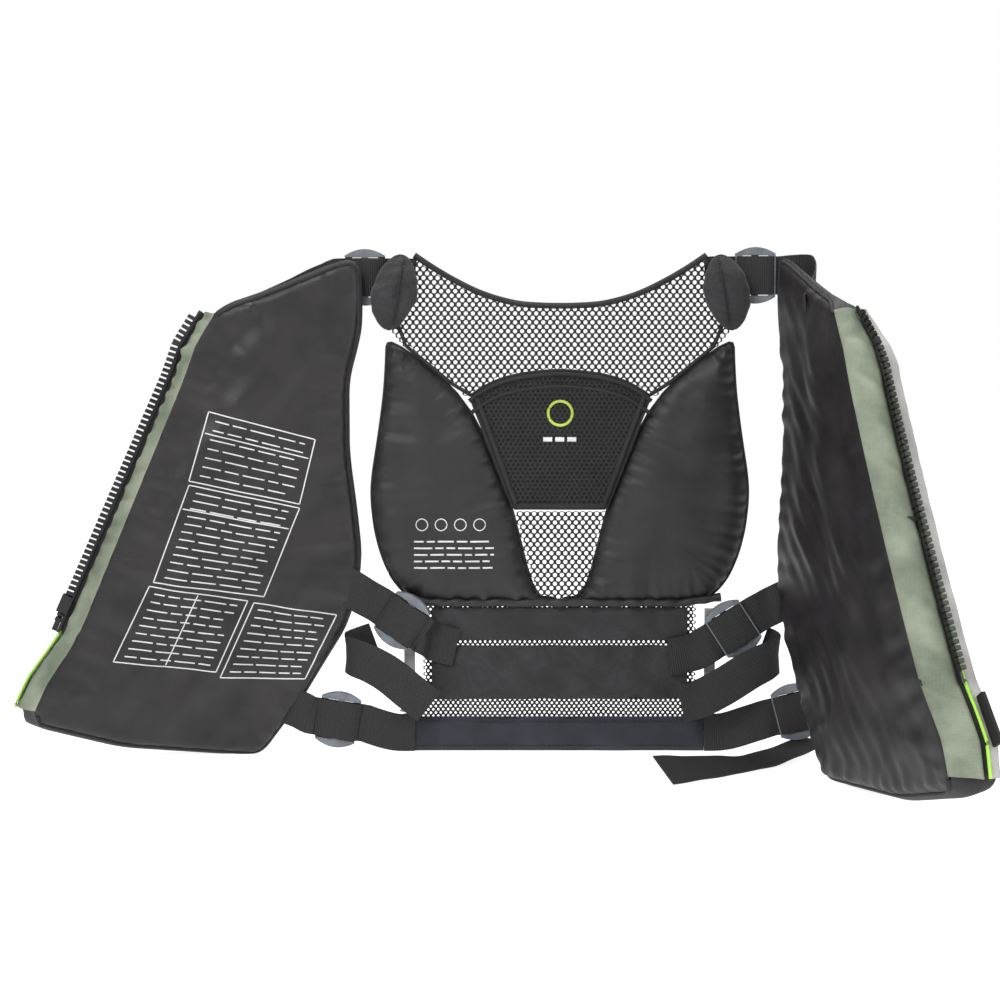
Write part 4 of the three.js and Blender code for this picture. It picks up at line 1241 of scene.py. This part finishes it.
strap("upper_tail_end_r", [
    (-186, 1, 112), (-200, 2.5, 107), (-211, 0, 103), (-214.5, -8, 100.5), (-207, -16, 98), (-192, -20, 93),
    (-172, -21.5, 82), (-150, -21, 64), (-131, -20.3, 49),
], body="back", slot="webbing", replaces=["upper_tail_r"], wrinkle=0.3, seed=401)
strap("upper_tail_end_l", [
    (203, -9, 110), (214, -15, 105.5), (217, -23, 102), (208, -31, 98), (188, -33, 88), (160, -27.7, 69),
    (137, -21.2, 56), (121, -19.7, 52),
], body="back", slot="webbing", replaces=["upper_tail_l"], wrinkle=0.3, seed=402)
strap("waist_tail_end_l", [
    (258, -24, 14.5), (244, -33, 14.1), (222, -48, 9), (194, -66, 4.6), (150, -98, 7), (93, -139, 12),
], turns=[(0, (0.62, -0.78, 0.02)), (0.4, (0.6, -0.79, -0.1)), (1, (0.5, -0.62, -0.53))],
    body="back", slot="webbing", replaces=["waist_tail_l"], wrinkle=0.3, seed=403)

# where webbing folds back over an adjuster's bars, only its side rails show
for place in ("upper", "waist", "shoulder"):
    for tag, side in SIDES:
        node = f"adjuster_{place}_{tag}"
        centre, along, across, third = adjuster_run(node)
        up = third if third[1] < 0 else -third
        rise = 5.0
        shape = [(-21, 1.6), (-17, 3.6), (-11, rise), (0, rise + 0.4), (11, rise), (17, 3.6), (21, 1.6)]
        strap(f"webbing_fold_{place}_{tag}", [tuple(centre + along * a + up * b) for a, b in shape],
              turns=[(0, tuple(across)), (1, tuple(across))], step=1.5, body=node, slot="webbing")

# the lash loop on the wearer's left front
keep_node("lash_loop_l", WEB, 0.6)


# ---------------------------------------------------------------- print
def printed(name, lines, surface, material, width, body, slot):
    """Thin printed lines on a cloth surface, all in one mesh.

    surface gives points from flat lines and a lift."""
    points, faces = [], []
    for line in lines:
        line = resample(line, 3.0)
        rows = [surface(moved(line, offset * width / 2), lift) for lift in (0.15, 0.5) for offset in (-1,
            1)]
        base, n = sum(len(p) for p in points), len(line)
        points += rows
        for a, b in ((0, 1), (1, 3), (3, 2), (2, 0)):
            for i in range(n - 1):
                faces.append([base + a * n + i, base + a * n + i + 1, base + b * n + i + 1,
                    base + b * n + i])
        faces += [[base, base + n, base + 3 * n, base + 2 * n], [base + n - 1, base + 2 * n - 1,
            base + 4 * n - 1, base + 3 * n - 1]]
    return make(name, np.vstack(points), faces, material, body=body, slot=slot, sharp=0)


def in_box(corners, a, b):
    """A point of a four-cornered box, for shares a across it and b down it."""
    c = np.array(corners, float)
    return (c[0] * (1 - a) + c[1] * a) * (1 - b) + (c[3] * (1 - a) + c[2] * a) * b


def box_lines(corners):
    return [np.array([corners[i], corners[(i + 1) % 4]], float) for i in range(4)]


def text_bars(corners, rows, seed, left=0.08, right=0.92, words=4):
    """Rows of short bars where a label would carry its text."""
    rng = np.random.default_rng(seed)
    lines = []
    for r in range(rows):
        b = (r + 0.8) / (rows + 0.6)
        a = left
        for _ in range(words):
            long = rng.uniform(0.09, 0.24)
            end = min(right, a + long)
            if end - a > 0.04:
                lines.append(np.array([in_box(corners, a, b), in_box(corners, end, b)]))
            a = end + 0.035
            if a > right:
                break
    return lines


def on_lining(tag):
    panel = panels[tag]
    rim = resample(panel.soft_loop, 3.2, closed=True)

    def surface(line, lift):
        d, s = field(line, rim)
        return panel.place(line[:, 0], line[:, 1], panel.lining_depth(line, d, s) - lift)
    return surface


# four boxes down the wearer's right lining, leaning with its zip edge
LABELS = {
    "top": ((152, 344), (48, 316), (64, 252), (172, 276)),
    "middle": ((172, 272), (64, 248), (100, 160), (208, 176)),
    "lower": ((212, 172), (116, 156), (148, 86), (248, 98)),
    "side": ((110, 154), (28, 140), (60, 76), (144, 80)),
}
outlines, bars = [], []
for i, corners in enumerate(LABELS.values()):
    outlines += box_lines(corners)
    bars += text_bars(corners, (7, 12, 9, 9)[i], 700 + i, words=6)
outlines.append(np.array([in_box(LABELS["top"], 0.02, 0.3), in_box(LABELS["top"], 0.98, 0.3)]))
outlines.append(np.array([in_box(LABELS["middle"], 0.02, 0.24), in_box(LABELS["middle"], 0.98, 0.24)]))
outlines.append(np.array([in_box(LABELS["lower"], 0.5, 0.02), in_box(LABELS["lower"], 0.5, 0.98)]))
printed("lining_label_boxes", outlines, on_lining("r"), PRINT, 1.2, "front_right", "panel_cloth")
printed("lining_label_bars", bars, on_lining("r"), PRINT, 1.3, "front_right", "panel_cloth")

# a small block of generic marks low on the wearer's right back pad
pad_front = pad_surfaces["r"]
MARKS = ((-146, 240), (-66, 240), (-66, 182), (-146, 182))


def on_pad(line, lift):
    rim = pad_front["rim"]
    d, s = field(line, rim)
    return on_back(line[:, 0], line[:, 1], pad_front["face"](line, d, s) - lift)


rings = []
for k in range(4):
    centre = in_box(MARKS, 0.1 + 0.24 * k, 0.16)
    turn = np.linspace(0, 2 * math.pi, 17)
    rings.append(np.stack([centre[0] + 6 * np.cos(turn), centre[1] + 6 * np.sin(turn)], axis=1))
printed("pad_mark_rings", rings, on_pad, PRINT, 1.0, "back", "pad_cloth")
printed("pad_mark_bars", text_bars([in_box(MARKS, 0, 0.36), in_box(MARKS, 1, 0.36), MARKS[2], MARKS[3]], 5,
    710, left=0.0, right=1.0, words=6),
        on_pad, PRINT, 1.7, "back", "pad_cloth")


# ---------------------------------------------------------------- floor, end
floor_mesh = bpy.data.meshes.new("floor")
floor_mesh.from_pydata([(-9, -9, 0), (9, -9, 0), (9, 9, 0), (-9, 9, 0)], [], [(0, 1, 2, 3)])
floor = bpy.data.objects.new("floor", floor_mesh)
bpy.context.scene.collection.objects.link(floor)
paper = Nodes("paper", 0.9, specular=0.0)
paper.colour((0.5, 0.5, 0.5, 1), (0.52, 0.52, 0.52, 1), paper.noise(3.0))
paper.shader.inputs["Emission Color"].default_value = (1, 1, 1, 1)
paper.shader.inputs["Emission Strength"].default_value = 0.88
floor_mesh.materials.append(paper.material)
